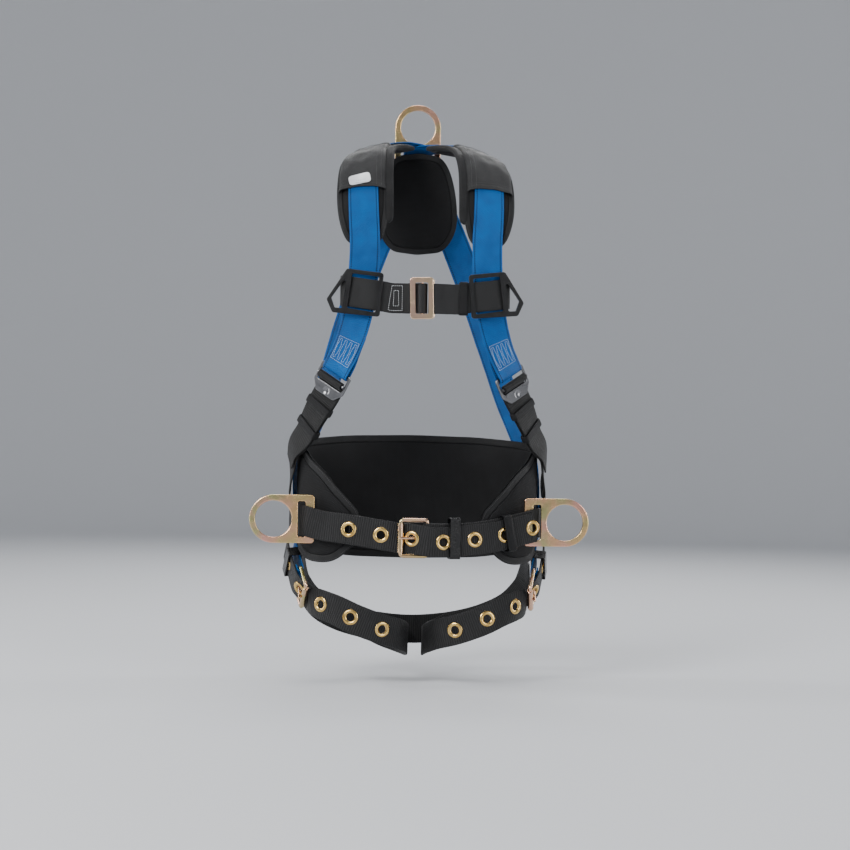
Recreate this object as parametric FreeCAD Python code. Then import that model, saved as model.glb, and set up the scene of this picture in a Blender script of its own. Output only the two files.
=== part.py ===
"""Full body safety harness with a padded waist belt, as worn, in millimetres.

+Z is up, the wearer faces -Y, and the wearer's left is +X. The origin is at the base of the
neck, level with the top of the shoulders. Everything on one side is drawn on the wearer's left
and mirrored to the right, apart from the belt, which closes off centre.
"""
import FreeCAD, Part
import math
import os

Vector = FreeCAD.Vector

# Webbing
WEB_WIDTH = 45.0
WEB_THICK = 2.4
BLUE_THICK = 2.0
SPAN_STEPS = 3           # stations made between two control rows

# Waist belt: a rounded ring, tilted down at the front
BELT_HALF_WIDTH = 195.0
BELT_FRONT_DEPTH = 110.0
BELT_BACK_DEPTH = 126.0
BELT_ROUNDNESS = 2.3
BELT_HEIGHT = -545.0
BELT_TILT = 0.19

# Waist pad, inside the belt
PAD_INSET = 14.0
PAD_THICK = 10.0

# Forged rings, one at the back and one at each hip
RING_HOLE_RADIUS = 27.5
RING_OUTER_RADIUS = 36.5
RING_THICK = 6.5
RING_REACH = 55.0        # hinge bar axis to the middle of the hole
RING_BAR_HALF = 6.7
RING_SLOT = (11.5, 53.5)

# Places of the ring hinge bars
SIDE_RING_AXIS = Vector(166.0, -67.0, -544.0)
DORSAL_RING_AXIS = Vector(0.0, 131.0, 21.2)

# Belt and leg buckles: a rod frame with a roller and a prong
ROD_RADIUS = 3.0
ROLLER_RADIUS = 4.5
ROLLER_BORE = 3.08
BELT_BUCKLE = Vector(-11.5, -118.0, -568.0)
BELT_BUCKLE_SPAN = 40.0  # roller axis to hinge axis
BELT_BUCKLE_TALL = 53.5  # between the axes of the long rods
LEG_BUCKLE_ROLLER = Vector(173.0, -46.0, -663.0)
LEG_BUCKLE_SPAN = 38.0

# Grommets
GROMMET_FLANGE = 11.6
GROMMET_TUBE = 7.8
GROMMET_HOLE = 6.5
GROMMET_CLEAR = 0.25
GROMMET_LIP = 1.0        # height of the rolled lip above the webbing

# Room left for the buckle prongs
PRONG_SLIT_HALF = 4.3
LOOP_RELIEF = 0.6        # between a rod and the webbing that turns round it

os.makedirs("parts", exist_ok=True)


def save(name, shape):
    shape.exportStep("parts/" + name + ".step")


def save_pair(name, shape):
    """Write a piece drawn on the left, and its mirror image on the right."""
    save(name + "_left", shape)
    save(name + "_right", mirrored(shape))


def mirrored(shape):
    return shape.mirror(Vector(0, 0, 0), Vector(1, 0, 0))


def unit(vector):
    return vector * (1.0 / vector.Length)


def row(x, y, z, nx, ny, nz, width=WEB_WIDTH):
    """One control row of a strap: a point, the outward direction there, and the width."""
    return (Vector(x, y, z), unit(Vector(nx, ny, nz)), width)


def blend_rows(before, start, end, after, t):
    """Centripetal Catmull-Rom between the rows start and end."""
    gap = math.sqrt((end[0] - start[0]).Length)
    gap_before = gap if before is start else math.sqrt((start[0] - before[0]).Length)
    gap_after = gap if after is end else math.sqrt((after[0] - end[0]).Length)

    def mix(i):
        b = start[i]
        c = end[i]
        a = b * 2 - c if before is start else before[i]
        d = c * 2 - b if after is end else after[i]
        middle = (c - b) * (1 / gap)
        leaving = (middle + (b - a) * (1 / gap_before) - (c - a) * (1 / (gap_before + gap))) * gap
        arriving = (middle + (d - c) * (1 / gap_after) - (d - b) * (1 / (gap + gap_after))) * gap
        return (b * (2 * t ** 3 - 3 * t ** 2 + 1) + leaving * (t ** 3 - 2 * t ** 2 + t)
                + c * (3 * t ** 2 - 2 * t ** 3) + arriving * (t ** 3 - t ** 2))

    width = start[2] + (end[2] - start[2]) * t
    return (mix(0), unit(mix(1)), width)


def sampled(rows, steps=SPAN_STEPS):
    """A smooth run of stations through the control rows."""
    stations = []
    for i in range(len(rows) - 1):
        before = rows[max(i - 1, 0)]
        after = rows[min(i + 2, len(rows) - 1)]
        for k in range(steps):
            stations.append(blend_rows(before, rows[i], rows[i + 1], after, k / steps))
    stations.append(rows[-1])
    return stations


def facet(a, b, c):
    return Part.Face(Part.makePolygon([a, b, c, a]))


def ribbon(rows, thick, steps=SPAN_STEPS):
    """A closed flat-faced strap through the control rows."""
    stations = sampled(rows, steps)
    sections = []
    for i, (centre, normal, width) in enumerate(stations):
        ahead = stations[min(i + 1, len(stations) - 1)][0]
        behind = stations[max(i - 1, 0)][0]
        along = unit(ahead - behind)
        side = unit(along.cross(normal)) * (width / 2)
        out = unit(side.cross(along)) * (thick / 2)
        sections.append([centre - side - out, centre + side - out,
                         centre + side + out, centre - side + out])
    first = sections[0]
    last = sections[-1]
    faces = [facet(first[0], first[1], first[2]), facet(first[0], first[2], first[3])]
    faces += [facet(last[2], last[1], last[0]), facet(last[3], last[2], last[0])]
    for one, two in zip(sections, sections[1:]):
        for k in range(4):
            m = (k + 1) % 4
            faces.append(facet(one[k], two[k], two[m]))
            faces.append(facet(one[k], two[m], one[m]))
    solid = Part.Solid(Part.Shell(faces))
    if solid.Volume < 0:
        solid.reverse()
    return solid


def wrap_rows(centre, forward, out, radius, start, end, count, width=WEB_WIDTH):
    """Rows round a bar, by the angle from the out direction towards the forward one."""
    rows = []
    for i in range(count + 1):
        angle = math.radians(start + (end - start) * i / count)
        radial = out * math.cos(angle) + forward * math.sin(angle)
        rows.append((centre + radial * radius, unit(radial), width))
    return rows


def shifted(rows, distance):
    """The same run, moved along its outward direction."""
    return [(point + normal * distance, normal, width) for point, normal, width in rows]


def wider(rows, widths):
    return [(point, normal, width) for (point, normal, _), width in zip(rows, widths)]


def away_from_neck(rows, i):
    """The direction across a run at row i, on the side away from the middle of the body."""
    along = rows[min(i + 1, len(rows) - 1)][0] - rows[max(i - 1, 0)][0]
    side = unit(along.cross(rows[i][1]))
    return side if side.x > 0 else side * -1


def moved(rows, sideways):
    """The same run, moved across itself, away from the middle of the body."""
    return [(point + away_from_neck(rows, i) * sideways, normal, width)
            for i, (point, normal, width) in enumerate(rows)]


def placed(shape, origin, x_axis, z_axis):
    """A shape drawn about the origin, put at a place with its X and Z along two directions."""
    y_axis = unit(z_axis.cross(x_axis))
    x_axis = unit(x_axis)
    z_axis = unit(z_axis)
    matrix = FreeCAD.Matrix(x_axis.x, y_axis.x, z_axis.x, origin.x,
                            x_axis.y, y_axis.y, z_axis.y, origin.y,
                            x_axis.z, y_axis.z, z_axis.z, origin.z,
                            0, 0, 0, 1)
    result = shape.copy()
    result.Placement = FreeCAD.Placement(matrix).multiply(shape.Placement)
    return result


def block(low, high):
    size = high - low
    return Part.makeBox(size.x, size.y, size.z, low)


def rounded_plate(length, height, thick, corner, edge):
    """A plate centred on the origin, in the XY plane, with round corners and soft edges."""
    plate = block(Vector(-length / 2, -height / 2, -thick / 2), Vector(length / 2, height / 2, thick / 2))
    uprights = [e for e in plate.Edges if abs(e.Vertexes[0].Z - e.Vertexes[1].Z) > thick / 2]
    plate = plate.makeFillet(corner, uprights)
    if edge:
        plate = plate.makeFillet(edge, flat_edges(plate, thick / 2))
    return plate


def flat_edges(shape, height):
    """The edges that lie in the planes z = height and z = -height."""
    found = []
    for e in shape.Edges:
        box = e.BoundBox
        if box.ZLength < 1e-6 and abs(abs(box.ZMin) - height) < 1e-6:
            found.append(e)
    return found


def outline_plate(corners, thick, corner_radius):
    """A flat plate from a polygon in the XY plane, with every corner rounded."""
    points = [Vector(x, y, -thick / 2) for x, y in corners]
    face = Part.Face(Part.makePolygon(points + [points[0]]))
    plate = face.extrude(Vector(0, 0, thick))
    uprights = [e for e in plate.Edges if e.BoundBox.ZLength > thick / 2]
    return plate.makeFillet(corner_radius, uprights)


# ---------------------------------------------------------------- forged rings

def ring_forging():
    """A forged ring in the XY plane: its hinge bar is on the Y axis and its hole is towards +X."""
    corner = 5.0
    low = -RING_THICK / 2
    half = RING_OUTER_RADIUS
    left = -RING_BAR_HALF
    bend = corner * (1 - math.sqrt(0.5))
    edges = [
        Part.LineSegment(Vector(left, corner - half, low), Vector(left, half - corner, low)),
        Part.Arc(Vector(left, half - corner, low), Vector(left + bend, half - bend, low),
                 Vector(left + corner, half, low)),
        Part.LineSegment(Vector(left + corner, half, low), Vector(RING_REACH, half, low)),
        Part.Arc(Vector(RING_REACH, half, low), Vector(RING_REACH + half, 0, low),
                 Vector(RING_REACH, -half, low)),
        Part.LineSegment(Vector(RING_REACH, -half, low), Vector(left + corner, -half, low)),
        Part.Arc(Vector(left + corner, -half, low), Vector(left + bend, bend - half, low),
                 Vector(left, corner - half, low)),
    ]
    face = Part.Face(Part.Wire([e.toShape() for e in edges]))
    body = face.extrude(Vector(0, 0, RING_THICK))
    body = body.cut(Part.makeCylinder(RING_HOLE_RADIUS, RING_THICK + 2, Vector(RING_REACH, 0, low - 1)))
    slot = rounded_plate(RING_SLOT[0], RING_SLOT[1], RING_THICK + 2, 3.0, 0)
    slot.translate(Vector(RING_BAR_HALF + RING_SLOT[0] / 2 + 0.2, 0, 0))
    body = body.cut(slot)
    return body.makeFillet(1.4, flat_edges(body, RING_THICK / 2))


# ---------------------------------------------------------------- rod buckles

def rod(start, end, radius):
    return Part.makeCylinder(radius, (end - start).Length, start, end - start)


def buckle_frame(span, tall):
    """Rod frame in the XY plane: roller bar on the Y axis at X = 0, hinge bar at X = span."""
    corner = 4.6
    half = tall / 2
    pieces = []
    for y in (-half, half):
        pieces.append(rod(Vector(corner, y, 0), Vector(span - corner, y, 0), ROD_RADIUS))
    for x in (0.0, span):
        pieces.append(rod(Vector(x, corner - half, 0), Vector(x, half - corner, 0), ROD_RADIUS))
    for x, y, turn in ((corner, corner - half, 180), (span - corner, corner - half, 270),
                       (span - corner, half - corner, 0), (corner, half - corner, 90)):
        bend = Part.makeTorus(corner, ROD_RADIUS, Vector(x, y, 0), Vector(0, 0, 1), 0, 360, 90)
        bend.rotate(Vector(x, y, 0), Vector(0, 0, 1), turn)
        pieces.append(bend)
    frame = pieces[0]
    for piece in pieces[1:]:
        frame = frame.fuse(piece)
    return frame.removeSplitter()


def buckle_roller(tall):
    """A rolled tube that turns on the roller bar."""
    half = tall / 2 - 5.0
    tube = rod(Vector(0, -half, 0), Vector(0, half, 0), ROLLER_RADIUS)
    ends = [e for e in tube.Edges if len(e.Vertexes) == 1 and e.BoundBox.YLength < 1e-6]
    tube = tube.makeFillet(0.6, ends)
    return tube.cut(rod(Vector(0, -half - 1, 0), Vector(0, half + 1, 0), ROLLER_BORE))


def buckle_prong(span, rise, bend_at):
    """A round prong: an eye on the hinge bar and a tongue that ends on top of the roller."""
    wire_radius = 1.9
    eye = rod(Vector(span, -3.2, 0), Vector(span, 3.2, 0), ROD_RADIUS + 3.2)
    eye = eye.cut(rod(Vector(span, -4, 0), Vector(span, 4, 0), ROD_RADIUS + 0.08))
    start = Vector(span - ROD_RADIUS - 1.4, 0, 0.0)
    knee = Vector(bend_at, 0, 1.6)
    tip = Vector(-1.5, 0, rise)
    root = rod(start, knee, wire_radius)
    tongue = rod(knee, tip, wire_radius)
    prong = root.fuse(Part.makeSphere(wire_radius, knee)).fuse(tongue)
    prong = prong.fuse(Part.makeSphere(wire_radius, tip)).fuse(eye)
    return prong.cut(rod(Vector(span, -4, 0), Vector(span, 4, 0), ROD_RADIUS + 0.08))


# ---------------------------------------------------------------- grommets

def grommet():
    """A rolled brass eyelet about the Z axis, with its middle plane at z = 0."""
    half = WEB_THICK / 2 + GROMMET_CLEAR
    top = half + GROMMET_LIP
    middle = (GROMMET_HOLE + GROMMET_FLANGE) / 2
    edges = []
    for side in (-1, 1):
        edges.append(Part.Arc(Vector(GROMMET_HOLE, 0, side * half), Vector(middle, 0, side * top),
                              Vector(GROMMET_FLANGE, 0, side * half)))
        edges.append(Part.LineSegment(Vector(GROMMET_FLANGE, 0, side * half),
                                      Vector(GROMMET_TUBE, 0, side * half)))
    for radius in (GROMMET_HOLE, GROMMET_TUBE):
        edges.append(Part.LineSegment(Vector(radius, 0, -half), Vector(radius, 0, half)))
    face = Part.Face(Part.Wire(Part.__sortEdges__([e.toShape() for e in edges])))
    return face.revolve(Vector(0, 0, 0), Vector(0, 0, 1), 360)


def spaced_stations(rows, anchor, pitch, before, after):
    """Point, outward direction and run direction at even steps along a run.

    The steps are counted from the control row with the index anchor.
    """
    steps = 12
    fine = sampled(rows, steps)
    lengths = [0.0]
    for one, two in zip(fine, fine[1:]):
        lengths.append(lengths[-1] + (two[0] - one[0]).Length)
    start = lengths[anchor * steps]
    found = []
    for k in range(-before, after + 1):
        goal = start + pitch * k
        i = max(j for j in range(len(fine) - 1) if lengths[j] <= goal)
        t = (goal - lengths[i]) / (lengths[i + 1] - lengths[i])
        run = fine[i + 1][0] - fine[i][0]
        out = unit(fine[i][1] + fine[i + 1][1])
        out = unit(out - run * (out.dot(run) / run.dot(run)))
        found.append((fine[i][0] + run * t, out, run))
    return found


def punched(strap, places):
    """The strap with a clearance hole at each place."""
    for point, normal, _ in places:
        reach = WEB_THICK / 2 + 1.0
        hole = Part.makeCylinder(GROMMET_TUBE + 0.2, 2 * reach, point - normal * reach, normal)
        strap = strap.cut(hole)
    return strap


def grommets_at(places):
    eyelet = grommet()
    return Part.makeCompound([placed(eyelet, p, run, normal) for p, normal, run in places])


# ---------------------------------------------------------------- shoulder straps and back

ADJUSTER = Vector(138.0, -78.0, -336.0)
ADJUSTER_DOWN = unit(Vector(0.42, 0.28, -0.87))
ADJUSTER_OUT = unit(ADJUSTER_DOWN.cross(Vector(0.86, 0.5, 0.57)))
ADJUSTER_TOP_BAR = -19.0
ADJUSTER_LOOP = 5.0      # from the top bar's middle to the middle of the webbing round it
FLOATING_BAR = (-3.6, 4.6)  # along the strap and out from the frame
FLOATING_BAR_RADIUS = 2.6


def adjuster_point(down, out):
    return ADJUSTER + ADJUSTER_DOWN * down + ADJUSTER_OUT * out


def adjuster_row(down, out, facing=1):
    return (adjuster_point(down, out), ADJUSTER_OUT * facing, WEB_WIDTH)


# Front run of the blue strap, over the shoulder and into the slot of the dorsal ring
SHOULDER_ROWS = [
    row(117, -95, -288, 0.42, -0.91, 0.0),
    row(105, -103, -253, 0.28, -0.96, 0.0),
    row(97, -108, -213, 0.12, -0.99, 0.0),
    row(93, -108, -168, 0.05, -1.0, 0.0),
    row(92, -107, -125, 0.0, -1.0, 0.06),
    row(94, -102, -84, 0.07, -0.97, 0.22),
    row(95, -89, -44, 0.17, -0.85, 0.5),
    row(94, -67, -12, 0.25, -0.6, 0.8),
    row(91, -36, 9, 0.29, -0.3, 0.95),
    row(86, -2, 21, 0.29, -0.05, 1.0),
    row(76, 34, 30, 0.25, 0.0, 1.0),
    row(57, 66, 37, 0.13, 0.05, 1.0),
    row(34, 92, 41, 0.0, 0.08, 1.0),
    row(12, 108, 38.5, 0.0, 0.2, 0.97),
    row(1.5, 120, 35.8, 0.0, 0.35, 0.93),
]
# Where the end of the fold round the adjuster is sewn to the strap, and the step between the two
SEWN_END_ROW = row(108.4, -101.2, -263, 0.31, -0.95, 0.0)
SEWN_LAYER_GAP = 3.4

# The same strap past the slot, down the back to the other hip, drawn towards +X
BACK_ROWS = [
    row(0, 131, 31.6, 0.0, 0.5, 0.87),
    row(0, 138.8, 26.2, 0.0, 0.8, 0.6),
    row(3, 142.5, 17, 0.0, 1.0, 0.1),
    row(14, 142.5, -5, 0.0, 1.0, -0.05),
    row(30, 139, -36, 0.02, 1.0, -0.08),
    row(50, 131, -80, 0.05, 1.0, -0.15),
    row(69, 122, -128, 0.15, 0.97, -0.15),
    row(89, 113, -182, 0.3, 0.94, -0.12),
    row(109, 104, -242, 0.45, 0.88, -0.1),
    row(128, 93, -302, 0.6, 0.78, -0.1),
    row(146, 80, -360, 0.72, 0.68, -0.1),
    row(164, 69, -408, 0.8, 0.58, -0.1),
    row(178, 55, -448, 0.9, 0.42, -0.08),
    row(183.6, 42, -486, 0.94, 0.34, -0.02),
    row(184.3, 31, -525, 0.96, 0.28, 0.0),
    row(186.2, 20, -560, 0.985, 0.17, -0.02),
]
CROSSING_LIFT = 3.8      # the right strap lies on the left one where they cross

# Leg buckle directions
LEG_BUCKLE_UP = unit(Vector(0.22, 0.64, 0.735))
LEG_BUCKLE_OUT = unit(Vector(0.1, 0.68, -0.73).cross(LEG_BUCKLE_UP))
LEG_HINGE = LEG_BUCKLE_ROLLER + LEG_BUCKLE_UP * LEG_BUCKLE_SPAN
BLUE_LOOP = ROD_RADIUS + LOOP_RELIEF + BLUE_THICK / 2


def leg_row(base, up, out, facing=1):
    point = base + LEG_BUCKLE_UP * up + LEG_BUCKLE_OUT * out
    return (point, LEG_BUCKLE_OUT * facing, WEB_WIDTH)


def flip_x(rows):
    turned = []
    for point, normal, width in rows:
        turned.append((Vector(-point.x, point.y, point.z), Vector(-normal.x, normal.y, normal.z), width))
    return turned


def faded_lift(rows, start, end):
    """Rows lifted by the crossing step inside start..end, and easing to nothing after it."""
    lifted = []
    for i, entry in enumerate(rows):
        amount = 1.0 if start <= i <= end else max(0.0, 1.0 - 0.5 * (i - end if i > end else start - i))
        lifted += shifted([entry], CROSSING_LIFT * amount)
    return lifted


def main_strap_rows(lift):
    """Left adjuster, over the left shoulder, through the dorsal slot, and to the right leg buckle."""
    bar = adjuster_point(ADJUSTER_TOP_BAR, 0)
    under = shifted([SEWN_END_ROW, SHOULDER_ROWS[0]], -SEWN_LAYER_GAP)
    front = [(point, normal * -1, width) for point, normal, width in under]
    front += [adjuster_row(ADJUSTER_TOP_BAR - 20, -ADJUSTER_LOOP, -1)]
    front += wrap_rows(bar, ADJUSTER_DOWN, ADJUSTER_OUT, ADJUSTER_LOOP, 180, 0, 4)
    front += SHOULDER_ROWS
    back = list(BACK_ROWS)
    back += [leg_row(LEG_HINGE, 44, -BLUE_LOOP), leg_row(LEG_HINGE, 15, -BLUE_LOOP)]
    loop = wrap_rows(LEG_HINGE, LEG_BUCKLE_UP * -1, LEG_BUCKLE_OUT, BLUE_LOOP, 180, 0, 4)
    back += [(point, normal * -1, width) for point, normal, width in loop]
    back += [leg_row(LEG_HINGE, 8, BLUE_LOOP, -1)]
    rows = front + flip_x(back)
    if lift:
        rows = faded_lift(rows, len(front) - 3, len(front) + 6)
    return rows


def make_main_straps():
    """Two blue straps that cross at the back; each has a slit for the prong of its leg buckle."""
    deep = 8.0
    slit = block(Vector(-deep, -PRONG_SLIT_HALF, -deep), Vector(deep + 1, PRONG_SLIT_HALF, deep))
    slit = mirrored(placed(slit, LEG_HINGE, LEG_BUCKLE_UP, LEG_BUCKLE_OUT))
    save("main_strap_left", ribbon(main_strap_rows(False), BLUE_THICK).cut(slit))
    save("main_strap_right", mirrored(ribbon(main_strap_rows(True), BLUE_THICK).cut(slit)))


# ---------------------------------------------------------------- shoulder and dorsal pads

SHOULDER_PAD_THICK = 9.0
ROLL_WIDTH = 14.0


def beside(rows, width):
    """Rows of a narrow strip that lies along the inner edge of a wider one."""
    return [(point - away_from_neck(rows, i) * (wide / 2 + 0.8 + width / 2), normal, width)
            for i, (point, normal, wide) in enumerate(rows)]


def make_shoulder_pads():
    """Foam pads under the straps, rolls along the neck, and sleeves over the straps."""
    sleeve_thick = 1.8
    over_strap = BLUE_THICK / 2 + 1.9
    under = shifted(SHOULDER_ROWS[4:13], -(BLUE_THICK / 2 + 2.0 + SHOULDER_PAD_THICK / 2))
    pad_rows = moved(wider(under, [50, 62, 63, 62, 62, 60, 60, 56, 50]), 1.0)
    save_pair("shoulder_pad", ribbon(pad_rows, SHOULDER_PAD_THICK))
    roll_rows = beside(sampled(pad_rows, 3)[2:], ROLL_WIDTH)
    save_pair("neck_roll", ribbon(roll_rows, SHOULDER_PAD_THICK, 1))
    over = shifted(SHOULDER_ROWS[6:11], over_strap + sleeve_thick / 2)
    save_pair("pad_cover", ribbon(moved(wider(over, [70, 70, 68, 65, 60]), 2.0), sleeve_thick))
    near_hem = sampled(SHOULDER_ROWS[5:9], 10)[10:16]
    label_rows = wider(shifted(near_hem, over_strap + sleeve_thick + 1.1), [33] * 6)
    label = mirrored(ribbon(moved(label_rows, 5.0), 0.8, 1))
    save("pad_label_right", label)


def make_dorsal_pad():
    """Foam pad behind the dorsal ring, with the plastic web plate that keeps the crossing."""
    rows = [row(0, 104, 24, 0, 0.97, 0.25, 74), row(0, 109, -4, 0, 1, 0.1, 92),
            row(0, 112, -42, 0, 1, 0, 108), row(0, 112, -84, 0, 1, 0, 112),
            row(0, 109, -120, 0, 1, -0.05, 84)]
    save("dorsal_pad", ribbon(rows, 10.0))
    plate = rounded_plate(64.0, 58.0, 4.0, 10.0, 1.0)
    save("dorsal_web_plate", placed(plate, Vector(0, 123.5, -24), Vector(1, 0, 0), Vector(0, 1, 0.08)))


# ---------------------------------------------------------------- chest

CHEST_HEIGHT = -210.5
KEEPER_THICK = 4.0
KEEPER_TURN = 0.12       # how far the keepers follow the curve of the chest
KEEPER_PLANE = -128.2    # where their plane would meet X = 0
KEEPER_OUTLINE = [(63.8, -174.0), (119.0, -167.7), (149.0, -213.6), (140.2, -233.3), (69.3, -239.3)]
KEEPER_WINDOW = [(70.4, -179.5), (111.0, -174.8), (118.0, -226.5), (75.5, -232.8)]
KEEPER_TRIANGLE = [(118.8, -178.5), (141.8, -211.5), (136.6, -226.2), (125.4, -227.0)]


def make_lanyard_keepers():
    """Moulded keeper: a window for the webbing and a triangle to park a lanyard hook."""
    plate = outline_plate(KEEPER_OUTLINE, KEEPER_THICK, 4.5)
    plate = plate.makeFillet(1.2, flat_edges(plate, KEEPER_THICK / 2))
    plate = plate.cut(outline_plate(KEEPER_WINDOW, KEEPER_THICK + 2, 2.5))
    plate = plate.cut(outline_plate(KEEPER_TRIANGLE, KEEPER_THICK + 2, 2.5))
    plate = placed(plate, Vector(0, KEEPER_PLANE, 0), Vector(1, KEEPER_TURN, 0), Vector(KEEPER_TURN, -1, 0))
    save_pair("lanyard_keeper", plate)


def chest_loop_rows():
    """Where the chest webbing folds round the shoulder strap, from front to back."""
    return [row(66, -115.3, -208, 0.1, -1, 0), row(98, -112.2, -204, 0.12, -1, 0),
            row(119.5, -108.9, -201, 0.14, -1, 0), row(126.4, -105.0, -200.5, 1, 0, 0),
            row(119.5, -100.8, -201, -0.12, 1, 0), row(98, -104.2, -204, -0.12, 1, 0),
            row(72, -107.2, -207.5, -0.1, 1, 0)]


def make_chest_straps():
    z = CHEST_HEIGHT
    right_half = [row(47, -110.6, z, 0, 1, 0), row(30, -112.6, z, 0, 1, 0), row(17, -115.6, z, -0.1, 1, 0),
                  row(9.5, -116.0, z, 0, 1, 0), row(4.8, -120.4, z, -1, 0, 0), row(10, -124.7, z, 0, -1, 0),
                  row(19, -122.4, z, 0.1, -1, 0), row(31, -117.4, z, 0.1, -1, 0),
                  row(48, -114.4, z, 0, -1, 0)]
    save("chest_strap_left", ribbon(right_half + chest_loop_rows(), WEB_THICK))
    left_half = [row(48, -110.0, z, 0, 1, 0), row(32, -110.6, z, 0, 1, 0), row(20, -112.2, z, 0, 1, 0),
                 row(11, -115.2, z, 0, 1, 0), row(3.4, -116.5, z, -0.3, 1, 0),
                 row(-1.2, -120.7, z, -1, 0, 0), row(3.4, -125.0, z, 0, -1, 0),
                 row(11.5, -123.6, z, 0.6, -0.8, 0),
                 row(17, -118.2, z, 0.5, -0.85, 0), row(25, -116.0, z, 0.1, -1, 0),
                 row(38, -114.6, z, 0, -1, 0), row(50, -113.8, z, 0, -1, 0)]
    save("chest_strap_right", mirrored(ribbon(left_half + chest_loop_rows(), WEB_THICK)))
    low = Vector(50, -118.0, z - 23.6)
    high = Vector(63.4, -107.0, z + 26.6)
    wall = Vector(-1, 0.9, 0.9)
    band = block(low, high).cut(block(low + wall, high - wall))
    save("chest_elastic_keeper", band)


def window_frame(length, height, thick, opening_length, opening_height):
    frame = rounded_plate(length, height, thick, 5.0, 1.1)
    return frame.cut(rounded_plate(opening_length, opening_height, thick + 2, 2.5, 0))


def make_chest_buckle():
    facing = Vector(0.02, -1, 0)
    across = Vector(1, 0.02, 0.03)
    front = window_frame(35.4, 62.4, 3.0, 19.8, 46.6)
    save("chest_buckle_front", placed(front, Vector(-6.6, -128.2, CHEST_HEIGHT), across, facing))
    rear = window_frame(36.6, 61.0, 2.6, 26.4, 50.0)
    save("chest_buckle_rear", placed(rear, Vector(-5.2, -120.4, CHEST_HEIGHT), across, facing))
    bar = rod(Vector(-6.5, -120.7, CHEST_HEIGHT - 23.0), Vector(-6.5, -120.7, CHEST_HEIGHT + 23.0), 2.2)
    save("chest_buckle_bar", bar)


# ---------------------------------------------------------------- torso adjusters

def make_torso_adjusters():
    """Steel frame with a top bar, an open window and a grip plate, and a floating bar."""
    outline = [(-28.5, -22.0), (28.5, -22.0), (28.5, 9.0), (17.0, 23.5), (-17.0, 23.5), (-28.5, 9.0)]
    plate = outline_plate(outline, 3.2, 4.5)
    window = rounded_plate(48.0, 22.0, 6.0, 3.0, 0)
    window.translate(Vector(0, -5.0, 0))
    plate = plate.cut(window)
    plate = plate.makeFillet(1.2, flat_edges(plate, 1.6))
    recess = Part.makeSphere(12.0, Vector(0, 15.5, 11.6))
    plate = plate.cut(recess)
    across = ADJUSTER_DOWN.cross(ADJUSTER_OUT)
    frame = placed(plate, ADJUSTER, across, ADJUSTER_OUT)
    save_pair("torso_adjuster_frame", frame)
    bar_middle = adjuster_point(*FLOATING_BAR)
    half = unit(across) * 25.5
    save_pair("torso_adjuster_bar", rod(bar_middle - half, bar_middle + half, FLOATING_BAR_RADIUS))


def make_torso_straps():
    """Black webbing from the hip, round the floating bar, and back down as a free end."""
    radius = FLOATING_BAR_RADIUS + 0.7 + WEB_THICK / 2
    bar = adjuster_point(*FLOATING_BAR)
    rows = [row(196.6, 8, -511, -1, 0, 0), row(195.4, 2, -490, -1, 0, -0.05),
            row(193.6, -10, -462, -0.97, 0.2, -0.1), row(189.2, -22, -438, -0.95, 0.29, -0.08),
            row(174, -36, -417, -0.85, 0.52, -0.05), row(163, -49, -393, -0.74, 0.67, 0),
            row(153, -58, -373, -0.62, 0.78, 0)]
    rows += [adjuster_row(24, -7.6, -1), adjuster_row(9, -7.6, -1), adjuster_row(3, -5.6, -1)]
    rows += wrap_rows(bar, ADJUSTER_DOWN, ADJUSTER_OUT, radius, 200, 420, 5)
    rows += [adjuster_row(2.8, 1.4), adjuster_row(5.4, -3.4)]
    rows += [adjuster_row(12, -4.0), adjuster_row(24, -4.0)]
    rows += [row(155.4, -61.2, -372, 0.62, -0.78, 0), row(165.8, -51.6, -392, 0.74, -0.67, 0),
             row(177.2, -38.6, -416, 0.85, -0.52, 0), row(192.6, -24.2, -437, 0.94, -0.31, 0.05),
             row(197.4, -12.5, -458, 0.97, -0.2, 0.1)]
    save_pair("torso_strap", ribbon(rows, WEB_THICK))


# Middle, run direction, outward direction and opening depth of the two keepers on a torso strap
TORSO_KEEPERS = {
    "upper": (Vector(154.2, -59.6, -372.5), Vector(0.42, 0.36, -0.83), Vector(0.62, -0.78, 0), 10.6),
    "lower": (Vector(170.0, -43.5, -405.0), Vector(0.41, 0.46, -0.8), Vector(0.8, -0.6, 0), 12.0),
}


def make_torso_keepers():
    """Elastic bands that hold the free end of the torso strap against its other layer."""
    for name, (place, along, out, depth) in TORSO_KEEPERS.items():
        band = hoop(12.0, 49.0, depth, 1.2)
        save_pair("torso_keeper_" + name, placed(band, place, along, along.cross(out)))


# ---------------------------------------------------------------- waist

def waist_row(degrees, inset, low=None, high=None):
    """A row on the belt's ring, by the angle from the front towards the wearer's left."""
    power = 2.0 / BELT_ROUNDNESS
    s = math.sin(math.radians(degrees))
    c = math.cos(math.radians(degrees))
    depth = (BELT_FRONT_DEPTH if c > 0 else BELT_BACK_DEPTH) - inset
    half = BELT_HALF_WIDTH - inset
    x = math.copysign(abs(s) ** power * half, s)
    y = -math.copysign(abs(c) ** power * depth, c)
    out = Vector(math.copysign(abs(x / half) ** (BELT_ROUNDNESS - 1) / half, x),
                 math.copysign(abs(y / depth) ** (BELT_ROUNDNESS - 1) / depth, y), 0)
    if low is None:
        return (Vector(x, y, BELT_HEIGHT + BELT_TILT * y), unit(out), WEB_WIDTH)
    return (Vector(x, y, (low + high) / 2), unit(out), high - low)


# Angle from the front, and the lower and upper edge of the pad there
PAD_EDGES = [(30, -567, -541), (36, -583, -521), (44, -597, -502), (54, -600, -479), (66, -595, -463),
             (80, -583, -442), (100, -581, -437), (125, -588, -433), (150, -597, -428), (180, -600, -426)]


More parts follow.
